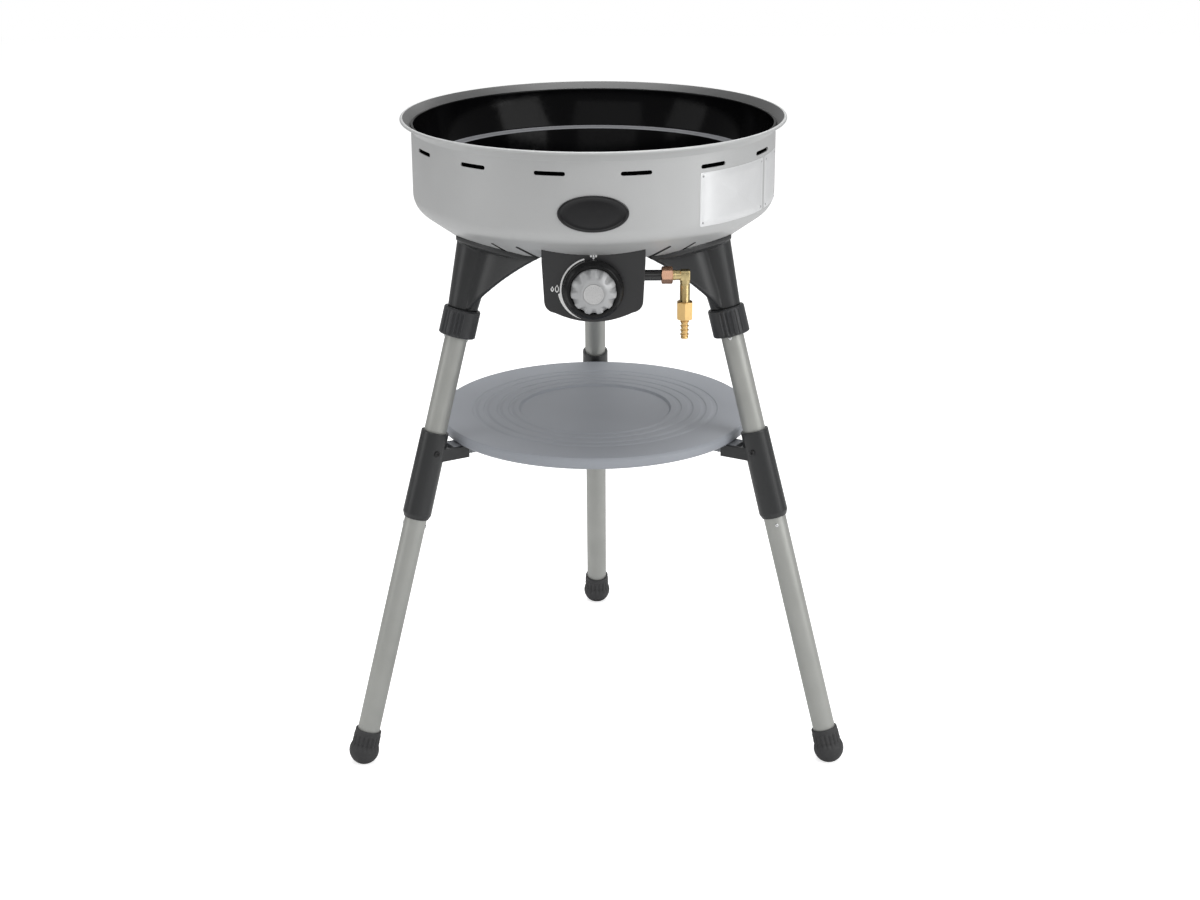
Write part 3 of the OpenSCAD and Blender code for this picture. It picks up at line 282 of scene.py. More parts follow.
def moulded(node, voxel, rounds, material, body):
    """A copy of a CAD solid with rounded edges"""
    piece = added(node + "_moulding", NODES[node].data.copy())
    remeshed(piece, voxel, rounds)
    dress(piece, material, body, node, angle=50)


# ---- Materials ----
MATERIALS = {}


class Nodes:
    """Short calls for building a node tree"""

    def __init__(self, tree):
        self.tree = tree
        self.coords = self.new("ShaderNodeTexCoord").outputs["Object"]

    def new(self, kind, **settings):
        node = self.tree.nodes.new(kind)
        for key, value in settings.items():
            setattr(node, key, value)
        return node

    def link(self, source, target):
        self.tree.links.new(source, target)

    def noise(self, scale, detail=3.0, stretch=None):
        """Noise of a scale per metre, stretched along the axes if asked"""
        coords = self.coords
        if stretch:
            mapping = self.new("ShaderNodeMapping")
            mapping.inputs["Scale"].default_value = stretch
            self.link(coords, mapping.inputs["Vector"])
            coords = mapping.outputs["Vector"]
        noise = self.new("ShaderNodeTexNoise")
        noise.inputs["Scale"].default_value = scale
        noise.inputs["Detail"].default_value = detail
        self.link(coords, noise.inputs["Vector"])
        return noise.outputs["Fac"]

    def span(self, value, low, high, from_low=0.3, from_high=0.7):
        """A value mapped to the range from low to high"""
        node = self.new("ShaderNodeMapRange")
        limits = {"From Min": from_low, "From Max": from_high, "To Min": low, "To Max": high}
        for key, limit in limits.items():
            node.inputs[key].default_value = limit
        self.link(value, node.inputs["Value"])
        return node.outputs["Result"]

    def axis(self, vector, name):
        """One part of a vector"""
        node = self.new("ShaderNodeSeparateXYZ")
        self.link(vector, node.inputs["Vector"])
        return node.outputs[name]

    def maths(self, operation, *values):
        node = self.new("ShaderNodeMath", operation=operation)
        for value, socket in zip(values, node.inputs):
            self.link(value, socket)
        return node.outputs["Value"]

    def blend(self, factor, first, second):
        """Two colours, or outputs, mixed by a factor"""
        node = self.new("ShaderNodeMix", data_type="RGBA")
        self.link(factor, node.inputs["Factor"])
        for value, socket in ((first, node.inputs["A"]), (second, node.inputs["B"])):
            if isinstance(value, tuple):
                socket.default_value = (*value, 1.0)
            else:
                self.link(value, socket)
        return node.outputs["Result"]


def srgb(*levels):
    """Linear colour from display levels of 0 to 255"""
    return tuple((v / 255 / 12.92) if v < 10.3 else ((v / 255 + 0.055) / 1.055) ** 2.4 for v in levels)


def scaled(colour, factor):
    return tuple(min(1.0, c * factor) for c in colour)


def finish(name, levels, rough, metal=0.0, tone=0.08, patch=18, grain=1500, bump=0.06, depth=0.02,
           rough_span=0.05, stretch=None, edge=0.0, speckle=0.0, **sockets):
    """A finish with patches of tone, fine grain in bump and roughness, and lighter edges that are
    partly wear and partly painted highlight.

    levels are the colour's display levels, patch and grain are scales per metre, depth is the
    height of the grain in millimetres and sockets are set on the shader itself.
    """
    colour = srgb(*levels)
    material = bpy.data.materials.new(name)
    material.use_nodes = True
    nodes = Nodes(material.node_tree)
    shader = material.node_tree.nodes["Principled BSDF"]
    shader.inputs["Metallic"].default_value = metal
    for key, value in sockets.items():
        shader.inputs[key.replace("_", " ")].default_value = value
    patches = nodes.span(nodes.noise(patch, 4.0), 0.0, 1.0)
    colour_out = nodes.blend(patches, scaled(colour, 1 - tone), scaled(colour, 1 + tone))
    fine = nodes.noise(grain, 2.0, stretch)
    if speckle:
        flakes = nodes.span(nodes.noise(grain * 1.7, 1.0), 0.0, speckle, 0.6, 0.75)
        colour_out = nodes.blend(flakes, colour_out, scaled(colour, 2.4))
    # Lighter edges by pointiness: partly wear, partly painted highlight
    if edge:
        geometry = nodes.new("ShaderNodeNewGeometry")
        wear_and_highlight = nodes.span(geometry.outputs["Pointiness"], 0.0, edge, 0.515, 0.56)
        colour_out = nodes.blend(wear_and_highlight, colour_out, scaled(colour, 2.6))
    nodes.link(colour_out, shader.inputs["Base Color"])
    nodes.link(nodes.span(fine, rough - rough_span, rough + rough_span), shader.inputs["Roughness"])
    if bump:
        relief = nodes.new("ShaderNodeBump")
        relief.inputs["Strength"].default_value = bump
        relief.inputs["Distance"].default_value = depth * MM
        nodes.link(fine, relief.inputs["Height"])
        nodes.link(relief.outputs["Normal"], shader.inputs["Normal"])
    MATERIALS[name] = material
    return nodes, shader, colour_out


def painted_shade_inside(nodes, shader, colour_out, factor):
    """Painted shade: darkens the faces that look towards the bowl's axis and the cut edges of its lower
    slots
    """
    normal = nodes.new("ShaderNodeNewGeometry").outputs["Normal"]
    flat = nodes.new("ShaderNodeVectorMath", operation="MULTIPLY")
    flat.inputs[1].default_value = (1.0, 1.0, 0.0)
    nodes.link(nodes.coords, flat.inputs[0])
    facing = nodes.new("ShaderNodeVectorMath", operation="DOT_PRODUCT")
    nodes.link(flat.outputs["Vector"], facing.inputs[0])
    nodes.link(normal, facing.inputs[1])
    inside = nodes.span(facing.outputs["Value"], 1.0, 0.0, -0.10, -0.04)
    # The cut edges of the cone's slots stand upright below the bowl's round corner; painted shade
    # darkens them as it does the inner faces
    upright = nodes.span(nodes.maths("ABSOLUTE", nodes.axis(normal, "Z")), 1.0, 0.0, 0.15, 0.4)
    below = nodes.span(nodes.axis(nodes.coords, "Z"), 1.0, 0.0, 0.684, 0.686)
    darkened = nodes.new("ShaderNodeMix", data_type="RGBA", blend_type="MULTIPLY")
    painted_shade_mask = nodes.maths("MAXIMUM", inside, nodes.maths("MULTIPLY", upright, below))
    nodes.link(painted_shade_mask, darkened.inputs["Factor"])
    nodes.link(colour_out, darkened.inputs["A"])
    darkened.inputs["B"].default_value = (factor, factor, factor, 1.0)
    nodes.link(darkened.outputs["Result"], shader.inputs["Base Color"])


def painted_highlight_band(nodes, shader, colour_out, low, high, colour):
    """A painted highlight: a paler colour on upward faces between two heights, along a ledge"""
    height = nodes.axis(nodes.coords, "Z")
    above = nodes.span(height, 0.0, 1.0, (low - 0.5) * MM, low * MM)
    below = nodes.span(height, 1.0, 0.0, high * MM, (high + 0.5) * MM)
    normal = nodes.new("ShaderNodeNewGeometry").outputs["Normal"]
    upward = nodes.span(nodes.axis(normal, "Z"), 0.0, 1.0, 0.1, 0.4)
    band = nodes.maths("MULTIPLY", nodes.maths("MULTIPLY", above, below), upward)
    nodes.link(nodes.blend(band, colour_out, colour), shader.inputs["Base Color"])


def build_materials():
    paint = finish("bowl_paint", (190, 191, 191), 0.42, 0.2, tone=0.03, patch=9, grain=1800,
                   bump=0.12, speckle=0.12, Coat_Weight=0.25, Coat_Roughness=0.25)
    # Painted shade on the bowl's inner faces and on the cut edges of its cone slots
    painted_shade_inside(*paint, 0.15)
    enamel = finish("black_enamel", (7, 7, 8), 0.13, tone=0.15, patch=12, grain=160, bump=0.10,
                    depth=0.15, rough_span=0.04, speckle=0.02, Specular_IOR_Level=0.09)
    # A painted highlight along the top of the pan's ledge
    painted_highlight_band(*enamel, RIM_Z - 55.6, RIM_Z - 54.0, srgb(120, 121, 124))
    finish("steel", (170, 171, 172), 0.34, 1.0, tone=0.06, grain=900, bump=0.1, stretch=(1, 1, 8))
    finish("burner_iron", (92, 90, 88), 0.58, 0.85, tone=0.14, patch=40, grain=700, bump=0.5,
           depth=0.12, edge=0.3)
    finish("cap_enamel", (44, 44, 45), 0.38, tone=0.12, patch=30, grain=500, bump=0.25, depth=0.08)
    finish("screw_steel", (180, 180, 182), 0.28, 1.0, tone=0.06, grain=1600, bump=0.08)
    finish("spring_steel", (176, 178, 182), 0.25, 1.0, tone=0.05, grain=1200)
    finish("ceramic", (226, 222, 210), 0.22, tone=0.03, grain=300, bump=0.05, Coat_Weight=0.4)
    finish("lead_rubber", (30, 30, 30), 0.55, tone=0.1, grain=1200, bump=0.15)
    # The edge values lighten rims and rib edges: partly wear, partly painted highlight
    plastics = {"dark_plastic": ((44, 45, 46), 0.12), "rib_plastic": ((48, 49, 51), 0.55)}
    for name, (levels, edge) in plastics.items():
        finish(name, levels, 0.34, tone=0.07, patch=14, grain=2400, bump=0.3, depth=0.03, edge=edge)
    finish("panel_paint", (46, 46, 47), 0.42, tone=0.05, patch=12, bump=0.3, depth=0.03,
           edge=0.15, speckle=0.05)
    finish("brass", (216, 196, 146), 0.26, 1.0, tone=0.08, patch=60, grain=1300, bump=0.12)
    finish("hose_brass", (240, 202, 138), 0.30, 1.0, tone=0.07, patch=60, grain=1300, bump=0.12)
    finish("copper_nut", (226, 178, 150), 0.28, 1.0, tone=0.1, patch=70, grain=1300, bump=0.12)
    finish("black_pipe", (20, 20, 21), 0.24, tone=0.15, grain=400, bump=0.06, Coat_Weight=0.5)
    finish("gloss_black", (10, 10, 11), 0.24, tone=0.1, patch=40, grain=900, bump=0.06, edge=0.1,
           Specular_IOR_Level=0.3)
    finish("grey_plastic", (178, 179, 180), 0.34, 0.2, tone=0.04, patch=60, grain=1600, bump=0.12,
           speckle=0.08)
    finish("silver_plastic", (198, 198, 198), 0.30, 0.3, tone=0.03, patch=80, grain=1600, bump=0.1)
    finish("badge_black", (20, 20, 22), 0.18, tone=0.1, patch=60, grain=500, bump=0.03,
           Coat_Weight=0.3, Coat_Roughness=0.05, Specular_IOR_Level=0.35)
    finish("label_foil", (230, 231, 232), 0.34, 0.35, tone=0.03, patch=25, bump=0.1,
           stretch=(1, 1, 14))
    finish("tube_steel", (172, 173, 169), 0.46, 0.5, tone=0.05, patch=22, bump=0.15,
           speckle=0.1)
    finish("pin_chrome", (220, 221, 222), 0.14, 1.0, tone=0.03, patch=90, bump=0.04)
    finish("black_screw", (44, 44, 45), 0.46, 0.3, tone=0.1, patch=90, bump=0.1)
    finish("foot_rubber", (54, 54, 55), 0.62, tone=0.12, patch=35, grain=900, bump=0.5, depth=0.06,
           edge=0.15)
    finish("shelf_paint", (160, 164, 171), 0.48, tone=0.03, patch=8, bump=0.3,
           depth=0.03, speckle=0.05)
    finish("shelf_plastic", (150, 153, 158), 0.5, tone=0.05, patch=30, bump=0.25,
           depth=0.03)
    finish("mark_white", (250, 250, 249), 0.5, tone=0.04, patch=90, grain=2400, bump=0.1)


# ---- Bowl ----
def bowl_r(z):
    """Outer radius of the bowl's side at height z"""
    if z >= CORNER_Z:
        return BODY_R
    return BODY_R - CORNER_R + sqrt(CORNER_R ** 2 - (CORNER_Z - z) ** 2)


def bowl_face(inward):
    """Points of the bowl's face from the burner hole to the lip, moved inwards"""
    tilt = atan((RIM_R - BODY_R) / (RIM_Z - LIP_Z))
    radius = CORNER_R - inward
    points = [(BURNER_HOLE_R, BASE_Z + inward, 0),
              (BASE_R - inward * tan(CONE / 2), BASE_Z + inward, 4)]
    for k in range(11):
        angle = (pi / 2 - CONE) * (1 - k / 10)
        points.append((BODY_R - CORNER_R + radius * cos(angle),
                       CORNER_Z - radius * sin(angle), 0))
    points.append((BODY_R - inward, LIP_Z + inward * tan(tilt / 2), 1.6))
    return points, tilt


def bowl_outline(inward):
    """The same points as (r, z)"""
    return [(r, z) for r, z, _ in bowl_face(inward)[0]]


def build_bowl():
    outer, tilt = bowl_face(0)
    inner, _ = bowl_face(SHEET)
    bead = (RIM_R - SHEET / 2, RIM_Z - BEAD_R)
    rim = [(bead[0] + BEAD_R * cos(a), bead[1] + BEAD_R * sin(a), 0)
           for a in (radians(203 + 16.5 * k) for k in range(15))]
    top = [(RIM_R - SHEET / cos(tilt), RIM_Z, 0.4)]
    profile = soften(outer + rim + top + inner[::-1])
    shell = raw_object("bowl", lathe(profile, 288))
    slots = []
    for k in range(SIDE_SLOTS):
        bearing = -90 + (k + 0.5) * 360 / SIDE_SLOTS
        at = turn(bearing) @ shift(BODY_R - 10, 0, LIP_Z - 15) @ turn(90, "Z") @ turn(90, "X")
        slots.append(moved(prism(capsule(SIDE_SLOT_LEN, SIDE_SLOT_W), 0, 20), at))
    for y in (*CONE_SLOT_Y, *(-y for y in CONE_SLOT_Y)):
        near = sqrt((BASE_R - 5) ** 2 - y ** 2)
        far = sqrt((CONE_TOP_R - 14) ** 2 - y ** 2)
        slot = prism(capsule(far - near, CONE_SLOT_W), BASE_Z - 10, CONE_TOP_Z + 6)
        slots += [moved(slot, turn(b) @ shift((near + far) / 2, y)) for b in LEGS.values()]
    carve(shell, joined(*slots))
    dress(shell, "bowl_paint", "base", "bowl_shell", angle=32)


def ellipse(half_x, half_y, count):
    turns = (2 * pi * k / count for k in range(count))
    return [(half_x * cos(a), half_y * sin(a)) for a in turns]


def capsule(length, width):
    """Outline of a slot with round ends, along X"""
    points = []
    for side, start in ((1, -0.5), (-1, 0.5)):
        for k in range(11):
            angle = pi * (start + k / 10)
            points.append((side * (length - width) / 2 + width / 2 * cos(angle),
                           width / 2 * sin(angle)))
    return points


def bowl_patch(outline, at_bearing, at_z, rows):
    """A plate against the bowl's side: rows are (scale of the outline, height off the bowl)"""
    def on_bowl(u, v, height):
        bearing = radians(at_bearing) + u / BODY_R
        reach = bowl_r(at_z + v) + height
        return reach * cos(bearing), reach * sin(bearing), at_z + v

    verts, faces = [], []
    count = len(outline)
    for scale, height in rows:
        verts += [on_bowl(u * scale, v * scale, height) for u, v in outline]
    for i in range(len(rows) - 1):
        for k in range(count):
            n = (k + 1) % count
            faces.append((i * count + k, i * count + n, (i + 1) * count + n, (i + 1) * count + k))
    for i in (0, len(rows) - 1):
        middle = len(verts)
        verts.append(on_bowl(0, 0, rows[i][1]))
        faces += [(i * count + k, i * count + (k + 1) % count, middle) for k in range(count)]
    return verts, faces


BADGE_HALF_X, BADGE_HALF_Y, BADGE_Z = 41.5, 21.5, LIP_Z - 61


def build_badge():
    """An oval badge left bare, with a raised rim"""
    rows = [(0.02, -0.2), (0.5, -0.2), (0.97, -0.2), (1.0, 0.2), (1.0, 1.1), (0.985, 1.6), (0.96, 1.9),
            (0.93, 2.0), (0.90, 1.9), (0.885, 1.6), (0.86, 1.45), (0.7, 1.6), (0.5, 1.75), (0.25, 1.85),
            (0.02, 1.9)]
    badge = bowl_patch(ellipse(BADGE_HALF_X, BADGE_HALF_Y, 96), -90, BADGE_Z, rows)
    make("badge", badge, "badge_black", "base", "front_badge", angle=60)


PLATE_Z, PLATE_HALF_H = LIP_Z - 54, 32
# Degrees from the front at which each plate starts and ends
PLATE_SPANS = ((33.5, 64.5), (66, 80))
# Half section of a rivet's head
RIVET = [(0, 0), (1.5, 0), (1.45, 0.35), (1.1, 0.75), (0.6, 0.95), (0, 1)]


def build_plates():
    """Two foil plates, left bare but for a pressed border and their rivets"""
    plates, rivets = [], []
    for first, last in PLATE_SPANS:
        half, tall = BODY_R * radians(last - first) / 2, PLATE_HALF_H
        box = [(-half, -tall, 3), (half, -tall, 3), (half, tall, 3), (-half, tall, 3)]
        outline = densified(soften(box, 6), 2.0)
        rows = [(0.02, -0.15), (0.5, -0.15), (1.0, -0.15), (1.0, 0.3), (0.995, 0.42), (0.97, 0.45),
                (0.962, 0.3), (0.94, 0.3), (0.932, 0.42), (0.7, 0.44), (0.4, 0.44), (0.02, 0.44)]
        bearing = -90 + (first + last) / 2
        plates.append(bowl_patch(outline, bearing, PLATE_Z, rows))
        for u in (-half + 4.5, half - 4.5):
            for z in (PLATE_Z + 4.5 - tall, PLATE_Z + tall - 4.5):
                at = turn(bearing + degrees(u / BODY_R)) @ shift(bowl_r(z), 0, z) @ turn(90, "Y")
                rivets.append(moved(lathe(RIVET, 24), at))
    make("plates", joined(*plates), "label_foil", "base", "side_plates", angle=30)
    make("plate_rivets", joined(*rivets), "screw_steel", "base")


def densified(outline, step):
    """The same outline with extra points, so that it bends over the bowl"""
    out = []
    for i, (x, y) in enumerate(outline):
        nx, ny = outline[(i + 1) % len(outline)]
        count = max(1, int(hypot(nx - x, ny - y) / step))
        out += [(x + (nx - x) * k / count, y + (ny - y) * k / count) for k in range(count)]
    return out


# ---- Pan and burner ----
PORTS = 36


def build_pan():
    """A sheet vessel with a beaded edge, a ledge and a collar round the burner"""
    edge_r, edge_z = 223.5, LIP_Z + 4
    ledge_z = RIM_Z - 56
    floor_z = ledge_z - 60
    wall = 1.4
    hole_r, neck_r = 70, 71.4
    under = [(edge_r, edge_z, 0), (209, ledge_z, 2.5), (197, ledge_z, 3.2), (191, floor_z + 14, 10),
             (160, floor_z, 6)]
    hole = [(neck_r, floor_z, 0), (neck_r, floor_z - 0.2, 0.3), (hole_r, floor_z - 0.2, 0.3),
            (hole_r, floor_z + 20, 0.6), (neck_r, floor_z + 20, 0.6), (neck_r, floor_z + wall, 2.0)]
    over = [(160 - wall, floor_z + wall, 5), (191 - wall, floor_z + 14 + wall, 9),
            (197 - wall, ledge_z + wall, 2.0), (209 - wall, ledge_z + wall, 3.5)]
    bead = [(edge_r - 0.1 + 1.6 * cos(a), edge_z + 0.2 + 1.6 * sin(a), 0)
            for a in (radians(200 - 21 * k) for k in range(14))]
    profile = soften(under + hole + over + bead, 5)
    make("pan_vessel", lathe(profile, 256), "black_enamel", "pan", "pan", angle=50)


def build_burner():
    """A ring with ports round its edge, under a lid"""
    head = [(8.35, HEAD_Z - 12, 0.5), (10.35, HEAD_Z - 12, 0.8), (10.35, HEAD_Z, 1.5),
            (40, HEAD_Z, 2.5), (52, HEAD_Z + 8, 3), (52, HEAD_Z + 16, 0.8), (47, HEAD_Z + 16, 0.8),
            (47, HEAD_Z + 10, 2.5), (36, HEAD_Z + 4, 2.5), (8.35, HEAD_Z + 4, 1.0)]
    piece = raw_object("burner_ring", lathe(soften(head), 180))
    port = lathe([(0, -8), (1.5, -8), (1.5, 12), (0, 12)], 16)
    ports = [moved(port, turn(k * 360 / PORTS) @ shift(50, 0, HEAD_Z + 13) @ turn(90, "Y"))
             for k in range(PORTS)]
    carve(piece, joined(*ports))
    dress(piece, "burner_iron", "base", "burner_head", angle=35)
    top = HEAD_Z + 16
    cap = [(0, top, 0), (38, top, 0.5), (38, top - 4, 0.5), (46.85, top - 4, 0.8),
           (46.85, top, 0.3), (56, top, 0.8), (56, top + 3, 1.2), (54.5, top + 3, 1.5),
           (41, top + 6, 5), (30, top + 6, 1.5), (29, top + 5.2, 1.5), (26, top + 5.2, 1.5),
           (25, top + 6, 1.5), (0, top + 6, 0)]
    make("burner_lid", lathe(soften(cap), 180), "cap_enamel", "base", "burner_cap")


# ---- Screws ----
def cross_recess(width, reach, low, high):
    """Two crossing bars that cut a cross into a screw head"""
    bars = []
    for a, b in ((reach, width), (width, reach)):
        bars.append(prism([(-a, -b), (a, -b), (a, b), (-a, b)], low, high))
    return bars


def pan_head(radius, height):
    """A round screw head about Z, its seat at 0"""
    rim = height * 0.45
    profile = [(0, 0, 0), (radius, 0, 0.15), (radius, rim, radius * 0.25),
               (radius * 0.72, height * 0.93, radius * 0.3), (radius * 0.4, height, 0.4),
               (0, height, 0)]
    return lathe(soften(profile, 3), 40)


def screw_set(name, node, places, radius, height, shank, material, body):
    """Screws with cross recesses at the given frames; shank is (radius, length) behind the seat"""
    heads = [moved(pan_head(radius, height), at) for at in places]
    piece = raw_object(name, joined(*heads))
    for bar in cross_recess(radius * 0.11, radius * 0.6, height * 0.5, height + 1):
        carve(piece, joined(*[moved(bar, at) for at in places]))
    rod = lathe([(0, 0.3), (shank[0], 0.3), (shank[0], -shank[1]), (0, -shank[1])], 24)
    rods = raw_object(name + "_rods", joined(*[moved(rod, at) for at in places]))
    merge(piece, rods)
    dress(piece, material, body, node)


def merge(piece, other):
    """Adds the mesh of another object to a piece"""
    work = bmesh.new()
    work.from_mesh(piece.data)
    work.from_mesh(other.data)
    work.to_mesh(piece.data)
    work.free()
    bpy.data.objects.remove(other)


def build_screws():
    under = turn(180, "X")
    bearings = LEGS.values()
    flange = [turn(b) @ shift(SCREW_R, side * SCREW_SIDE, BASE_Z + SHEET)
              for b in bearings for side in (-1, 1)]
    screw_set("flange_screws", "socket_screws", flange, 5.0, 3.2, (2.5, 18), "screw_steel", "base")
    shelf = [turn(b) @ shift(192.75, 0, 396.0) @ under for b in bearings]
    screw_set("tab_screws", "shelf_screws", shelf, 3.5, 2.4, (2.0, 15.5), "screw_steel", "shelf")
    for name in LEGS:
        side = 90 if name == "right" else -90
        at = leg(name) @ shift(0, 0, SLEEVE_TOP - 25) @ turn(side, "X") @ shift(0, 0, 18.1)
        screw_set("clamp_screw_" + name, "sleeve_screw_" + name, [at], 3.5, 2.2, (2.0, 3.1),
                  "black_screw", "upper_leg_" + name)


# ---- Panel ----
MARK_LOW, MARK_HIGH = -0.15, 0.12
ARC_R = 37.9
ARC_FROM, ARC_TO = 106.0, 246.0
# The wedge starts at this bearing
WEDGE_FROM = 186.5


def arc_mark():
    """An arc round the knob: an even band, then a wedge that tapers to its end"""
    def at(bearing, out):
        angle = radians(bearing)
        return (ARC_R + out) * cos(angle), (ARC_R + out) * sin(angle)

    def width(bearing):
        return 1.9 if bearing < WEDGE_FROM else 0.2 + 4.1 * ((ARC_TO - bearing) / 60) ** 0.85

    steps = [ARC_FROM + (ARC_TO - ARC_FROM) * k / 80 for k in range(81)]
    band = [at(d, 0) for d in steps] + [at(d, width(d)) for d in steps[::-1]]
    return prism(band, MARK_LOW, MARK_HIGH)


def build_panel():
    moulded("valve_panel", 0.75, 3, "panel_paint", "base")
    pointer = prism([(0, 36.9), (1.8, 39.2), (-1.8, 39.2)], MARK_LOW, MARK_HIGH)
    flames = [prism([(x + u, 41.4 + v) for u, v in drop(2.3, 3.8)], MARK_LOW, MARK_HIGH)
              for x in (-3.0, 0, 3.0)]
    outlined = [moved(flame_mark(4.9, 9.8, 0.95), shift(-43.2, 2.2)),
                moved(flame_mark(3.6, 6.6, 0.9), shift(-48.7, 1.6))]
    marks = joined(arc_mark(), pointer, *flames, *outlined)
    make("panel_marks", moved(marks, facing_front(PANEL_Y, VALVE_Z - 2)), "mark_white", "base")


def drop(width, height):
    """Outline of a drop with a bent tip, like a small flame"""
    points = []
    for k in range(48):
        a = 2 * pi * k / 48
        rise = -cos(a)
        pinch = (1 - max(0.0, rise)) ** 0.8
        across = width / 2 * sin(a) * pinch + 0.10 * width * max(0, rise) ** 2
        points.append((across, height / 2 * rise))
    return points


def flame_mark(width, height, line):
    """A flame drawn as a closed band"""
    out, inner = drop(width, height), drop(width - 2 * line, height - 2.6 * line)
    verts, faces = [], []
    for z in (MARK_LOW, MARK_HIGH):
        verts += [(x, y, z) for x, y in out + inner]
    n = len(out)
    for k in range(n):
        j = (k + 1) % n
        faces += [(k, j, n + j, n + k), (2 * n + k, 2 * n + j, 3 * n + j, 3 * n + k),
                  (k, j, 2 * n + j, 2 * n + k), (n + k, n + j, 3 * n + j, 3 * n + k)]
    return verts, faces


# ---- Knob ----
SKIRT_BACK, SKIRT_H = 3.6, 11.0
FLUTES = 11


def build_knob():
    axis = facing_front(PANEL_Y - SKIRT_BACK, VALVE_Z)
    skirt = [(4.2, 1, 0.3), (33.5, 1, 0.4), (34, 0, 0.4), (35.5, 0, 0.5),
             (35.5, SKIRT_H - 5.5, 2.5), (31.0, SKIRT_H, 1.6), (28.2, SKIRT_H, 0.6),
             (27.2, SKIRT_H - 1.0, 0.6), (27.2, SKIRT_H - 4, 0.4), (4.2, SKIRT_H - 4, 0.3)]
    make("knob_base", moved(lathe(soften(skirt), 144), axis), "gloss_black", "knob", "knob_skirt",
         angle=50)
    low, high = SKIRT_H - 4, SKIRT_H + 13

    def fluted(r, z, angle):
        """Flutes that cut into the cone between its foot and the face"""
        if r < 13.5 or z < low + 3.0:
            return r
        rise = (z - low - 3) / (high - low - 3)
        phase = (angle / (2 * pi) * FLUTES) % 1.0 - 0.5
        deep = 3.6 * sin(pi * min(1.0, rise * 1.05 + 0.10)) ** 0.8
        return r - deep * max(0.0, cos(pi * phase * 1.55)) ** 1.3 if abs(phase) < 0.323 else r

    side = []
    for k in range(17):
        u = k / 16
        side.append((27 - 12 * u ** 1.35 + 1.2 * sin(pi * u),
                     low + 6 + (high - low - 6) * u, 0))
    grip = [(4.2, low, 0.2), (26.8, low, 0.4), (27, low + 3, 0)] + side
    grip[-1] = (14.6, high, 0.8)
    grip += [(12.2, high, 0.3), (12.2, high - 1, 0.2), (4.2, high - 1, 0.1), (4.2, high - 1.2, 0.1)]
    grip = soften(grip, 3)
    # The grip is closed at its axis, under the face
    grip[-1] = (0, high - 1.0)
    grip.append((0, low))
    make("knob_lobes", moved(lathe(grip, 264, fluted), axis @ turn(90)), "grey_plastic", "knob",
         "knob_grip", angle=35)
    face = [(0, high - 1, 0), (12, high - 1, 0.2), (12, high + 0.35, 0.35), (11.2, high + 0.6, 0.3),
            (10.4, high + 0.25, 0.4), (9.2, high + 0.25, 0.4), (6, high + 0.45, 3), (0, high + 0.6, 0)]
    make("knob_disc", moved(lathe(soften(face), 96), axis), "silver_plastic", "knob", "knob_face",
         angle=50)


# ---- Gas line ----
NUT_ACROSS = 18
INLET_NUT_X, INLET_NUT_LEN = 80.0, 13.5
ELBOW_X, ELBOW_DROP = 108.0, 36
# Heights on the elbow are from the pipe's axis
THREAD_R, THREAD_TOP, THREAD_PITCH = 6.0, -11.0, 1.4
BARB_PITCH = 5.2


def hex_nut(low, high, bore):
    """A chamfered hexagonal nut about Z; bore is the rest of its half section, from the low end"""
    def shape(r, z, angle):
        if r < NUT_ACROSS / 2 - 0.6:
            return r
        off = (angle + pi / 6) % (pi / 3) - pi / 6
        chamfered = min(z - low, high - z) * 1.75 + NUT_ACROSS / 2 - 0.35
        return min(NUT_ACROSS / 2 / cos(off), chamfered)

    # The levels lie closer at the chamfers
    edge = (0, 0.25, 0.5, 0.8, 1.1, 1.5, 2.0)
    levels = [low + e for e in edge] + [high - e for e in edge[::-1]]
    side = [(NUT_ACROSS / 2, z) for z in levels]
    return lathe(bore[:1] + side + bore[1:], 120, shape)


def build_gas_line():
    along = shift(0, PIPE_Y, PIPE_Z) @ turn(90, "Y")
    start, end = INLET_NUT_X, INLET_NUT_X + INLET_NUT_LEN
    pipe = [(3.0, 16, 0.2), (4.85, 16, 0.3), (4.85, 21, 0.2), (6.5, 21, 0.5), (6.5, start, 0.4),
            (4.85, start, 0.2), (4.85, start + 4, 0.3), (3.0, start + 4, 0.2)]
    make("feed_pipe", moved(lathe(soften(pipe), 72), along), "black_pipe", "base", "inlet_pipe")
    nut = hex_nut(start, end, [(5.2, start), (6.0, end), (6.0, start + 5), (5.2, start + 5)])
    make("union_nut", moved(nut, along @ turn(15)), "copper_nut", "base", "inlet_nut", angle=30)
    build_elbow(end, along)
    build_hose_parts()


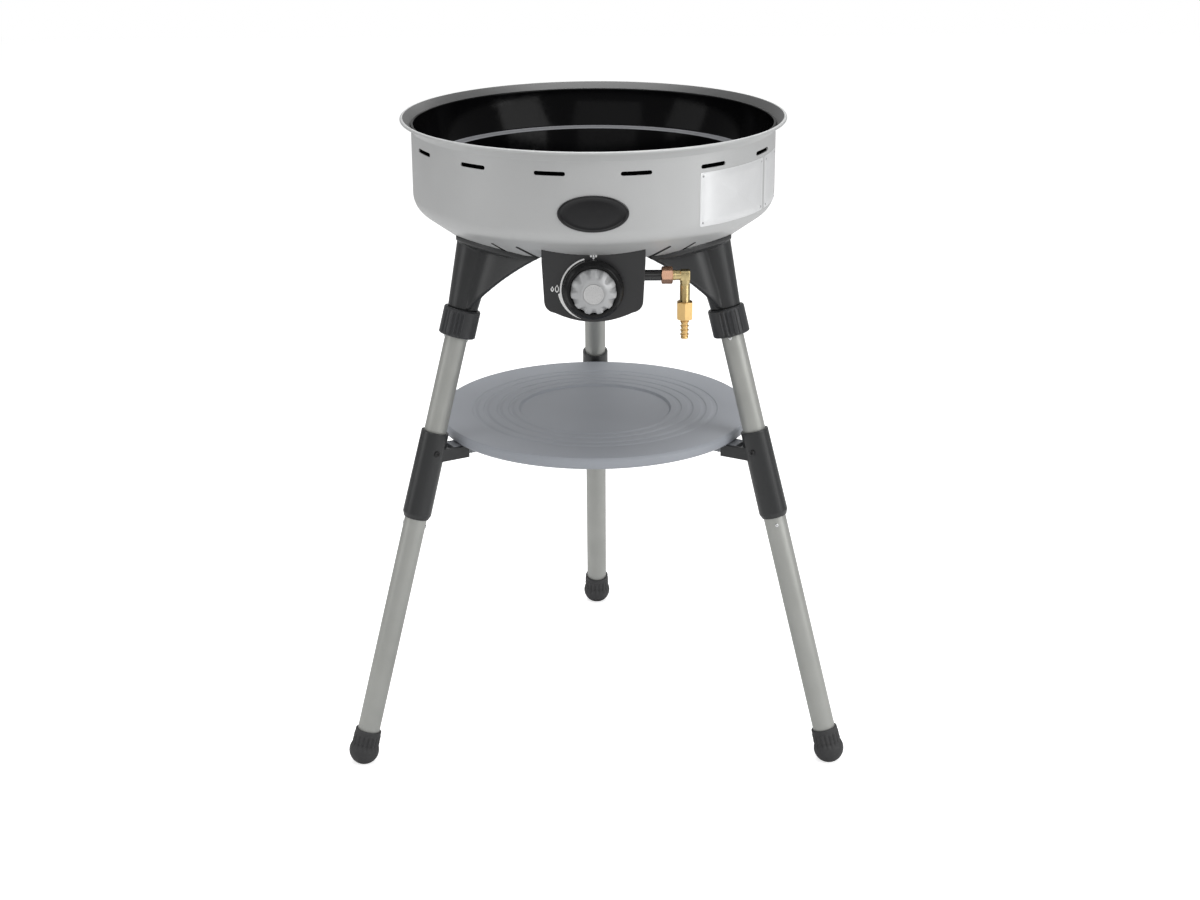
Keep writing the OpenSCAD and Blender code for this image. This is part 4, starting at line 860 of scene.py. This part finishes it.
def build_elbow(start, along):
    """A forged elbow: two arms meeting in a rounded corner, the lower one threaded"""
    arm = [(3, start - 7.5, 0.2), (5.8, start - 7.5, 0.3), (5.8, start, 0.2), (6.3, start, 0.4),
           (6.3, start + 3, 0.4), (5.9, start + 3.4, 0.3), (5.9, ELBOW_X - 5, 0.3),
           (5.9, ELBOW_X + 1.5, 0.5), (3, ELBOW_X + 1.5, 0.2)]
    corner_box = [(-6.1, -6.1, 2.2), (6.1, -6.1, 2.2), (6.1, 6.1, 2.2), (-6.1, 6.1, 2.2)]
    block = bevelled(prism(soften(corner_box), -6.0, 6.3), 1.6, 50)
    upright = shift(ELBOW_X, PIPE_Y, PIPE_Z)
    profile = [(3, -ELBOW_DROP), (5.2, -ELBOW_DROP), (5.6, 0.4 - ELBOW_DROP)]
    level = 0.6 - ELBOW_DROP
    while level < THREAD_TOP:
        profile.append((THREAD_R, level))
        level += THREAD_PITCH / 7
    profile += [(5.5, THREAD_TOP + 0.4), (5.5, THREAD_TOP + 1.2), (6.2, THREAD_TOP + 1.6), (6.2, 3),
                (3, 3)]

    def threaded(r, z, angle):
        if r != THREAD_R:
            return r
        phase = (z / THREAD_PITCH - angle / (2 * pi)) % 1.0
        fade = min(1.0, (z + ELBOW_DROP - 0.4) / 1.2, (THREAD_TOP + 0.4 - z) / 1.2)
        return 5.75 + 0.52 * fade * (1 - abs(2 * phase - 1))

    solid = joined(moved(lathe(soften(arm), 72), along), moved(block, upright),
                   moved(lathe(profile, 72, threaded), upright))
    make("elbow_fitting", solid, "brass", "base", "inlet_elbow", angle=40)


def build_hose_parts():
    """The hose nozzle, its nut and its seal, below the elbow"""
    at = shift(ELBOW_X, PIPE_Y, 0)
    top = PIPE_Z - ELBOW_DROP + 4
    low = top - 22
    nut = hex_nut(low, top, [(4.3, low), (6.9, top), (6.6, top - 0.4), (6.6, low + 5), (4.3, low + 5)])
    make("union_collar", moved(nut, at), "hose_brass", "hose_nut", "hose_nut", angle=30)
    barb_low = low - 4 * BARB_PITCH - 3
    tail_top = low + 5.3 + 4
    profile = [(2.5, barb_low, 0.3), (4.3, barb_low, 0.6), (4.8, barb_low + 1.6, 0.5),
               (4.0, barb_low + 2.7, 0.3)]
    for k in range(1, 5):
        z = barb_low + k * BARB_PITCH - 2.5
        profile += [(4.0, z, 0.3), (5.3, z + 2.6, 0.25), (5.25, z + 3.0, 0.2), (4.0, z + 3.1, 0.3)]
    profile += [(4.0, tail_top - 4, 0.3), (5.6, tail_top - 4, 0.3), (5.6, tail_top, 0.4),
                (2.5, tail_top, 0.4)]
    make("barbed_tail", moved(lathe(soften(profile, 3), 72), at), "hose_brass", "hose_tail",
         "hose_tail")
    seal = [(3, tail_top, 0.3), (5.6, tail_top, 0.5), (5.6, tail_top + 2, 0.5), (3, tail_top + 2, 0.3)]
    make("flat_seal", moved(lathe(soften(seal), 48), at), "lead_rubber", "hose_tail", "hose_seal")


# ---- Leg sockets ----
WING_REACH = 106.0
WING_T = 7.0
WING_TIP_Z = BASE_Z - 2
WING_FOOT_Z = WING_TIP_Z - 76
FLANGE_T = 5.0
# Sides of each socket that have a wing
WINGS = {"left": (1,), "right": (-1,), "rear": (1, -1)}


def cubic(a, b, c, d, count=16):
    """Points of a cubic curve from a to d, drawn towards b and c"""
    points = []
    for k in range(count + 1):
        u, v = k / count, 1 - k / count
        weights = (v ** 3, 3 * v * v * u, 3 * v * u * u, u ** 3)
        points.append(tuple(sum(w * p[i] for w, p in zip(weights, (a, b, c, d))) for i in (0, 1)))
    return points


def wing_face(y, z):
    """Radius of a wing's outer face, which flares where it meets the socket's tube"""
    axis_r = SOCKET_R + (BASE_Z - z) * tan(SPLAY)
    tube_r = 18.5 + 0.084 * (z - WING_FOOT_Z)
    flare = 8.0 * exp(-max(0.0, y - tube_r) / 7.0)
    return axis_r + 1.0 - 26.0 * (y / WING_REACH) ** 1.5 + flare


def wing(side):
    """A thin wall from the socket's tube to a tip under the bowl, on one side"""
    edge = cubic((WING_REACH, WING_TIP_Z), (60, WING_TIP_Z - 29), (24, WING_TIP_Z - 62),
                 (20, WING_FOOT_Z), 40) + [(8, WING_FOOT_Z)]
    rows = 16
    verts, faces = [], []
    for y, low in edge:
        r = hypot(wing_face(y, BASE_Z), y)
        top = BASE_Z + max(0.0, r - BASE_R) * tan(CONE) - 1
        for k in range(rows + 1):
            z = low + (top - low) * k / rows
            x = wing_face(y, z)
            verts += [(x, side * y, z), (x - WING_T, side * y, z)]
    step = 2 * (rows + 1)
    for i in range(len(edge) - 1):
        for k in range(rows):
            a, b = i * step + 2 * k, (i + 1) * step + 2 * k
            faces += [(a, b, b + 2, a + 2), (a + 1, a + 3, b + 3, b + 1)]
        a, b = i * step, (i + 1) * step
        faces += [(a, a + 1, b + 1, b), (a + step - 2, b + step - 2, b + step - 1, a + step - 1)]
    last = (len(edge) - 1) * step
    for k in range(rows):
        for start in (0, last):
            a = start + 2 * k
            faces.append((a, a + 1, a + 3, a + 2))
    return verts, faces


def half_flange(winged):
    """Plan of half a flange: its outer edge to the tip, then its inner edge"""
    inner = SOCKET_R - 54
    if winged:
        out, tip = SOCKET_R + 30, (SOCKET_R - 24, WING_REACH)
        edge = cubic((out, 0), (out, 42), (out - 15, 80), tip)
    else:
        out, tip = SOCKET_R + 20, (SOCKET_R - 13, 74)
        edge = cubic((out, 0), (out, 25), (out - 18, 50), tip)
    return edge + cubic(tip, (tip[0] - 17, tip[1] * 0.84), (inner, tip[1] * 0.44), (inner, 0))[1:]


def build_socket(name):
    """A tube and a spigot round the leg, a flange that lies under the bowl, wings and screw bosses"""
    wings = WINGS[name]
    outwards = turn(LEGS[name])
    tube = [(0, COLLAR_TOP + 109), (26.9, COLLAR_TOP + 109), (18.5, COLLAR_TOP), (17.2, COLLAR_TOP),
            (17.2, SPIGOT_LOW), (14.3, SPIGOT_LOW), (14.3, COLLAR_TOP + 36), (0, COLLAR_TOP + 36)]
    piece = raw_object("leg_socket_" + name + "_moulding", moved(lathe(tube, 128), leg(name)))
    bowl = bowl_outline(0)
    carve(piece, lathe([(0, BASE_Z)] + bowl + [(0, LIP_Z)], 256))
    plan = half_flange(1 in wings) + [(x, -y) for x, y in half_flange(-1 in wings)[-2::-1]]
    flange = raw_object("flange", moved(prism(plan, BASE_Z - 8, BASE_Z + 40), outwards))
    carve(flange, lathe(bowl_outline(-FLANGE_T) + bowl[::-1], 256), "INTERSECT")
    solids = [wing(side) for side in wings]
    for side in (1, -1):
        # A boss stays behind a wing's outer face
        r, back = (4.2, 1.0) if side in wings else (6.0, 0.0)
        boss = prism(ellipse(r, r, 32), BASE_Z - 20, BASE_Z - 1.5)
        solids.append(moved(boss, shift(SCREW_R - back, side * SCREW_SIDE)))
    merge(piece, flange)
    merge(piece, raw_object("ribs", moved(joined(*solids), outwards)))
    remeshed(piece, 0.9, 5)
    dress(piece, "dark_plastic", "base", "leg_socket_" + name, angle=50)


# ---- Legs ----
COLLAR_H = 34.7
COLLAR_RIBS = 24
# Bearing in each leg's frame at which a smooth stretch of its collar lies
SMOOTH_AT = {"left": 98, "right": 244, "rear": 60}


def build_collar(name):
    smooth_at = radians(SMOOTH_AT[name])

    def ribbed(r, z, angle):
        """Ribs in three groups, with a smooth stretch between the groups"""
        if r < 21.5:
            return r
        place = (angle / (2 * pi) * COLLAR_RIBS) % 1.0
        groove = max(0.0, 1 - abs(place - 0.5) / 0.30)
        off = (angle - smooth_at + pi / 3) % (2 * pi / 3) - pi / 3
        if abs(off) < radians(23):
            groove = 0.0
        window = min(1.0, max(0.0, (z - 1.2) / 1.2), max(0.0, (COLLAR_H - 2.0 - z) / 1.2))
        return r - 1.15 * min(1.0, groove * 1.9) * window

    side = [(22.7, 1.8 + (COLLAR_H - 4.4) * k / 20, 0) for k in range(21)]
    profile = ([(14.3, 0, 0.5), (21.2, 0, 0.8), (22.7, 1.3, 0.6)] + side
               + [(22.7, COLLAR_H - 1.9, 0.5), (21.6, COLLAR_H, 0.5), (17.5, COLLAR_H, 0.5),
                  (17.5, 5, 0.3), (14.3, 5, 0.4)])
    ring = moved(lathe(soften(profile, 3), 384, ribbed), leg(name) @ shift(0, 0, COLLAR_LOW))
    make("collar_" + name + "_ring", ring, "rib_plastic", "collar_" + name, "clamp_collar_" + name,
         angle=40)


def build_tube(part, name, low, top):
    """The upper or lower tube of a leg"""
    inner = TUBE_R - TUBE_WALL
    profile = [(inner, low, 0.3), (TUBE_R, low, 0.5), (TUBE_R, top, 0.5), (inner, top, 0.3)]
    make(f"pole_{part}_{name}", moved(lathe(soften(profile), 96), leg(name)), "tube_steel",
         f"{part}_leg_{name}", f"{part}_tube_{name}")


def build_pin(part, name, at_height, turned):
    """A stop pin through a leg's upper or lower tube, with domed ends"""
    end = TUBE_R + PIN_PROUD
    profile = [(0, -end)]
    for k in range(7):
        a = pi / 2 * (1 - k / 6)
        profile.append((PIN_R * cos(a), -end + 1.1 * (1 - sin(a))))
    profile += [(r, -z) for r, z in profile[::-1]]
    at = leg(name) @ shift(0, 0, at_height) @ turn(turned) @ turn(90, "X")
    make(f"catch_{part}_{name}", moved(lathe(profile, 40), at), "pin_chrome",
         f"{part}_leg_{name}", f"{part}_pin_{name}")


def build_foot(name):
    """A ribbed rubber cap with a ball foot, cut flat where it stands"""
    ribs, rib_low, rib_high = 18, 20, 39
    ball_r, ball_z = 19, 17

    def ribbed(r, z, angle):
        if z < rib_low or z > rib_high or r < 15:
            return r
        window = min(1.0, (z - rib_low) / 2.5, (rib_high - z) / 1.2)
        wave = 0.5 + 0.5 * cos(angle * ribs)
        return r - 1.5 * window * (1 - wave ** 0.6)

    angles = (radians(-85 + 128 * k / 18) for k in range(19))
    ball = [(ball_r * cos(a), ball_z + ball_r * sin(a), 0) for a in angles]
    ball = [p for p in ball if p[1] < 27]
    sides = [(17.2, 29.5 + k * 0.95, 0) for k in range(10)]
    profile = ([(0, -2, 0)] + ball + [(17.6, 28.5, 0.8)] + sides
               + [(16.5, 39.4, 0.3), (16.5, 44.2, 0.8), (15.9, 45, 0.4), (14.15, 45, 0.3),
                  (14.15, 9.85, 0.3), (0, 9.85, 0)])
    piece = raw_object(name + "_boot", moved(lathe(soften(profile, 3), 216, ribbed), leg(name)))
    work = bmesh.new()
    work.from_mesh(piece.data)
    cut = bmesh.ops.bisect_plane(work, geom=work.verts[:] + work.edges[:] + work.faces[:], dist=1e-6,
                                 plane_co=(0, 0, 0), plane_no=(0, 0, -1), clear_outer=True)
    rim = [e for e in cut["geom_cut"] if isinstance(e, bmesh.types.BMEdge)]
    bmesh.ops.holes_fill(work, edges=rim)
    bmesh.ops.recalc_face_normals(work, faces=work.faces)
    work.to_mesh(piece.data)
    work.free()
    dress(piece, "foot_rubber", "lower_leg_" + name, "foot_" + name, angle=45)


def build_legs():
    for name in LEGS:
        build_socket(name)
        moulded("sleeve_" + name, 0.7, 3, "dark_plastic", "upper_leg_" + name)
        build_collar(name)
        build_tube("upper", name, SLEEVE_TOP - TUBE_IN_SLEEVE, SPIGOT_LOW + TUBE_IN_SOCKET)
        build_tube("lower", name, TUBE_LOW, SLEEVE_LOW + TUBE_IN_SLEEVE)
        build_pin("upper", name, COLLAR_LOW - PIN_R - 0.4, UPPER_PIN_TURN[name])
        build_pin("lower", name, SLEEVE_LOW - PIN_R - 7, LOWER_PIN_TURN[name])
        build_foot(name)


# ---- Shelf ----
def build_shelf():
    """A round plate with four grooves round a shallow recess"""
    recess = 97.0
    profile = [(0, SHELF_LOW, 0), (198, SHELF_LOW, 1.5), (201, SHELF_LOW + 3, 1.5),
               (201, SHELF_TOP - 3, 1.5), (198, SHELF_TOP, 1.5)]
    for out in (60, 46, 29, 14):
        profile += [(recess + out + 1.2, SHELF_TOP, 0.5), (recess + out, SHELF_TOP - 0.8, 0.5),
                    (recess + out - 3.5, SHELF_TOP - 0.8, 0.6), (recess + out - 6.5, SHELF_TOP, 0.6)]
    profile += [(recess + 1.2, SHELF_TOP, 0.9), (recess - 1, SHELF_TOP - 3, 1.0),
                (recess - 3, SHELF_TOP - 3, 0), (0, SHELF_TOP - 3, 0)]
    make("shelf_disc", lathe(soften(profile, 3), 256), "shelf_paint", "shelf", "shelf", angle=50)
    moulded("shelf_brackets", 0.55, 2, "shelf_plastic", "shelf")


# ---- Finishes of the CAD nodes that stay ----
KEPT_NODES = {
    "steel": ["burner_tube", "burner_bracket", "valve_stem"],
    "screw_steel": ["bracket_screws", "panel_screws"],
    "ceramic": ["igniter_electrode"],
    "lead_rubber": ["igniter_lead"],
    "black_pipe": ["igniter_box"],
    "brass": ["gas_valve", "gas_jet", "valve_plug"],
    "spring_steel": ["valve_spring"],
}


def finish_kept_nodes():
    for material, names in KEPT_NODES.items():
        for name in names:
            NODES[name].material_slots[0].material = MATERIALS[material]


# ---- Stage, lights and camera ----
AMBIENT = 0.37
FLOOR_GLOW = 0.66
FLOOR_SIZE = 6.0
# Just under the feet
FLOOR_Z = -0.0002


def area_light(name, place, aim, size, power):
    """A lamp in metres and watts that looks from its place to its aim"""
    data = bpy.data.lights.new(name, "AREA")
    data.shape = "RECTANGLE"
    data.size, data.size_y = size
    data.energy = power
    lamp = added(name, data)
    lamp.location = place
    lamp.rotation_euler = (Vector(aim) - Vector(place)).to_track_quat("-Z", "Y").to_euler()


def strength_by_ray(tree, target, seen, shed):
    """A strength that is one value where the camera sees it and another in the light it sheds"""
    path = tree.nodes.new("ShaderNodeLightPath")
    level = tree.nodes.new("ShaderNodeMapRange")
    level.inputs["To Min"].default_value = shed
    level.inputs["To Max"].default_value = seen
    tree.links.new(path.outputs["Is Camera Ray"], level.inputs["Value"])
    tree.links.new(level.outputs["Result"], target)


def build_floor():
    size = FLOOR_SIZE
    mesh = bpy.data.meshes.new("floor")
    corners = [(-size, -size, 0), (size, -size, 0), (size, size, 0), (-size, size, 0)]
    mesh.from_pydata(corners, [], [(0, 1, 2, 3)])
    floor = added("floor", mesh)
    floor.location.z = FLOOR_Z
    material = bpy.data.materials.new("floor")
    material.use_nodes = True
    tree = material.node_tree
    shader = tree.nodes["Principled BSDF"]
    settings = {"Base Color": (0.86, 0.86, 0.86, 1), "Emission Color": (1, 1, 1, 1),
                "Roughness": 0.9, "Specular IOR Level": 0.0}
    for key, value in settings.items():
        shader.inputs[key].default_value = value
    strength_by_ray(tree, shader.inputs["Emission Strength"], FLOOR_GLOW, 0.0)
    mesh.materials.append(material)


def build_world():
    """White where the camera sees it, and a softer even light on the object"""
    world = bpy.data.worlds.new("studio")
    bpy.context.scene.world = world
    world.use_nodes = True
    tree = world.node_tree
    background = tree.nodes["Background"]
    background.inputs["Color"].default_value = (1, 1, 1, 1)
    strength_by_ray(tree, background.inputs["Strength"], 1.0, AMBIENT)


def build_camera():
    data = bpy.data.cameras.new("camera")
    data.sensor_fit = "HORIZONTAL"
    data.sensor_width = 36.0
    data.lens = 63.3794
    data.clip_end = 50
    camera = added("camera", data)
    camera.location = (0.009851, -2.591804, 1.278755)
    camera.rotation_euler = [radians(a) for a in (70.48557, 0.26475, -0.01369)]
    bpy.context.scene.camera = camera


# Name, place, aim, size and power
LAMPS = [
    ("key", (2.3, -1.7, 1.9), (0, 0, 0.55), (1.8, 2.2), 36),
    ("front", (-0.6, -3.2, 2.2), (0, 0, 0.5), (3.0, 1.8), 13),
    ("low_right", (2.2, -0.9, 0.45), (0.2, 0, 0.4), (0.6, 1.2), 3),
    ("fill", (-2.4, -0.8, 1.2), (0, 0, 0.5), (1.2, 1.8), 9),
    ("top", (0.0, 0.3, 3.0), (0, 0, 0.6), (2.0, 2.0), 44),
    ("back", (0.4, 2.6, 2.4), (0, 0, 0.6), (2.2, 1.2), 12),
]


# ---- Build ----
bpy.context.scene.view_settings.view_transform = "Standard"
build_camera()
build_materials()
build_bowl()
build_badge()
build_plates()
build_pan()
build_burner()
build_screws()
build_panel()
build_knob()
build_gas_line()
build_legs()
build_shelf()
finish_kept_nodes()
build_floor()
build_world()
for lamp in LAMPS:
    area_light(*lamp)
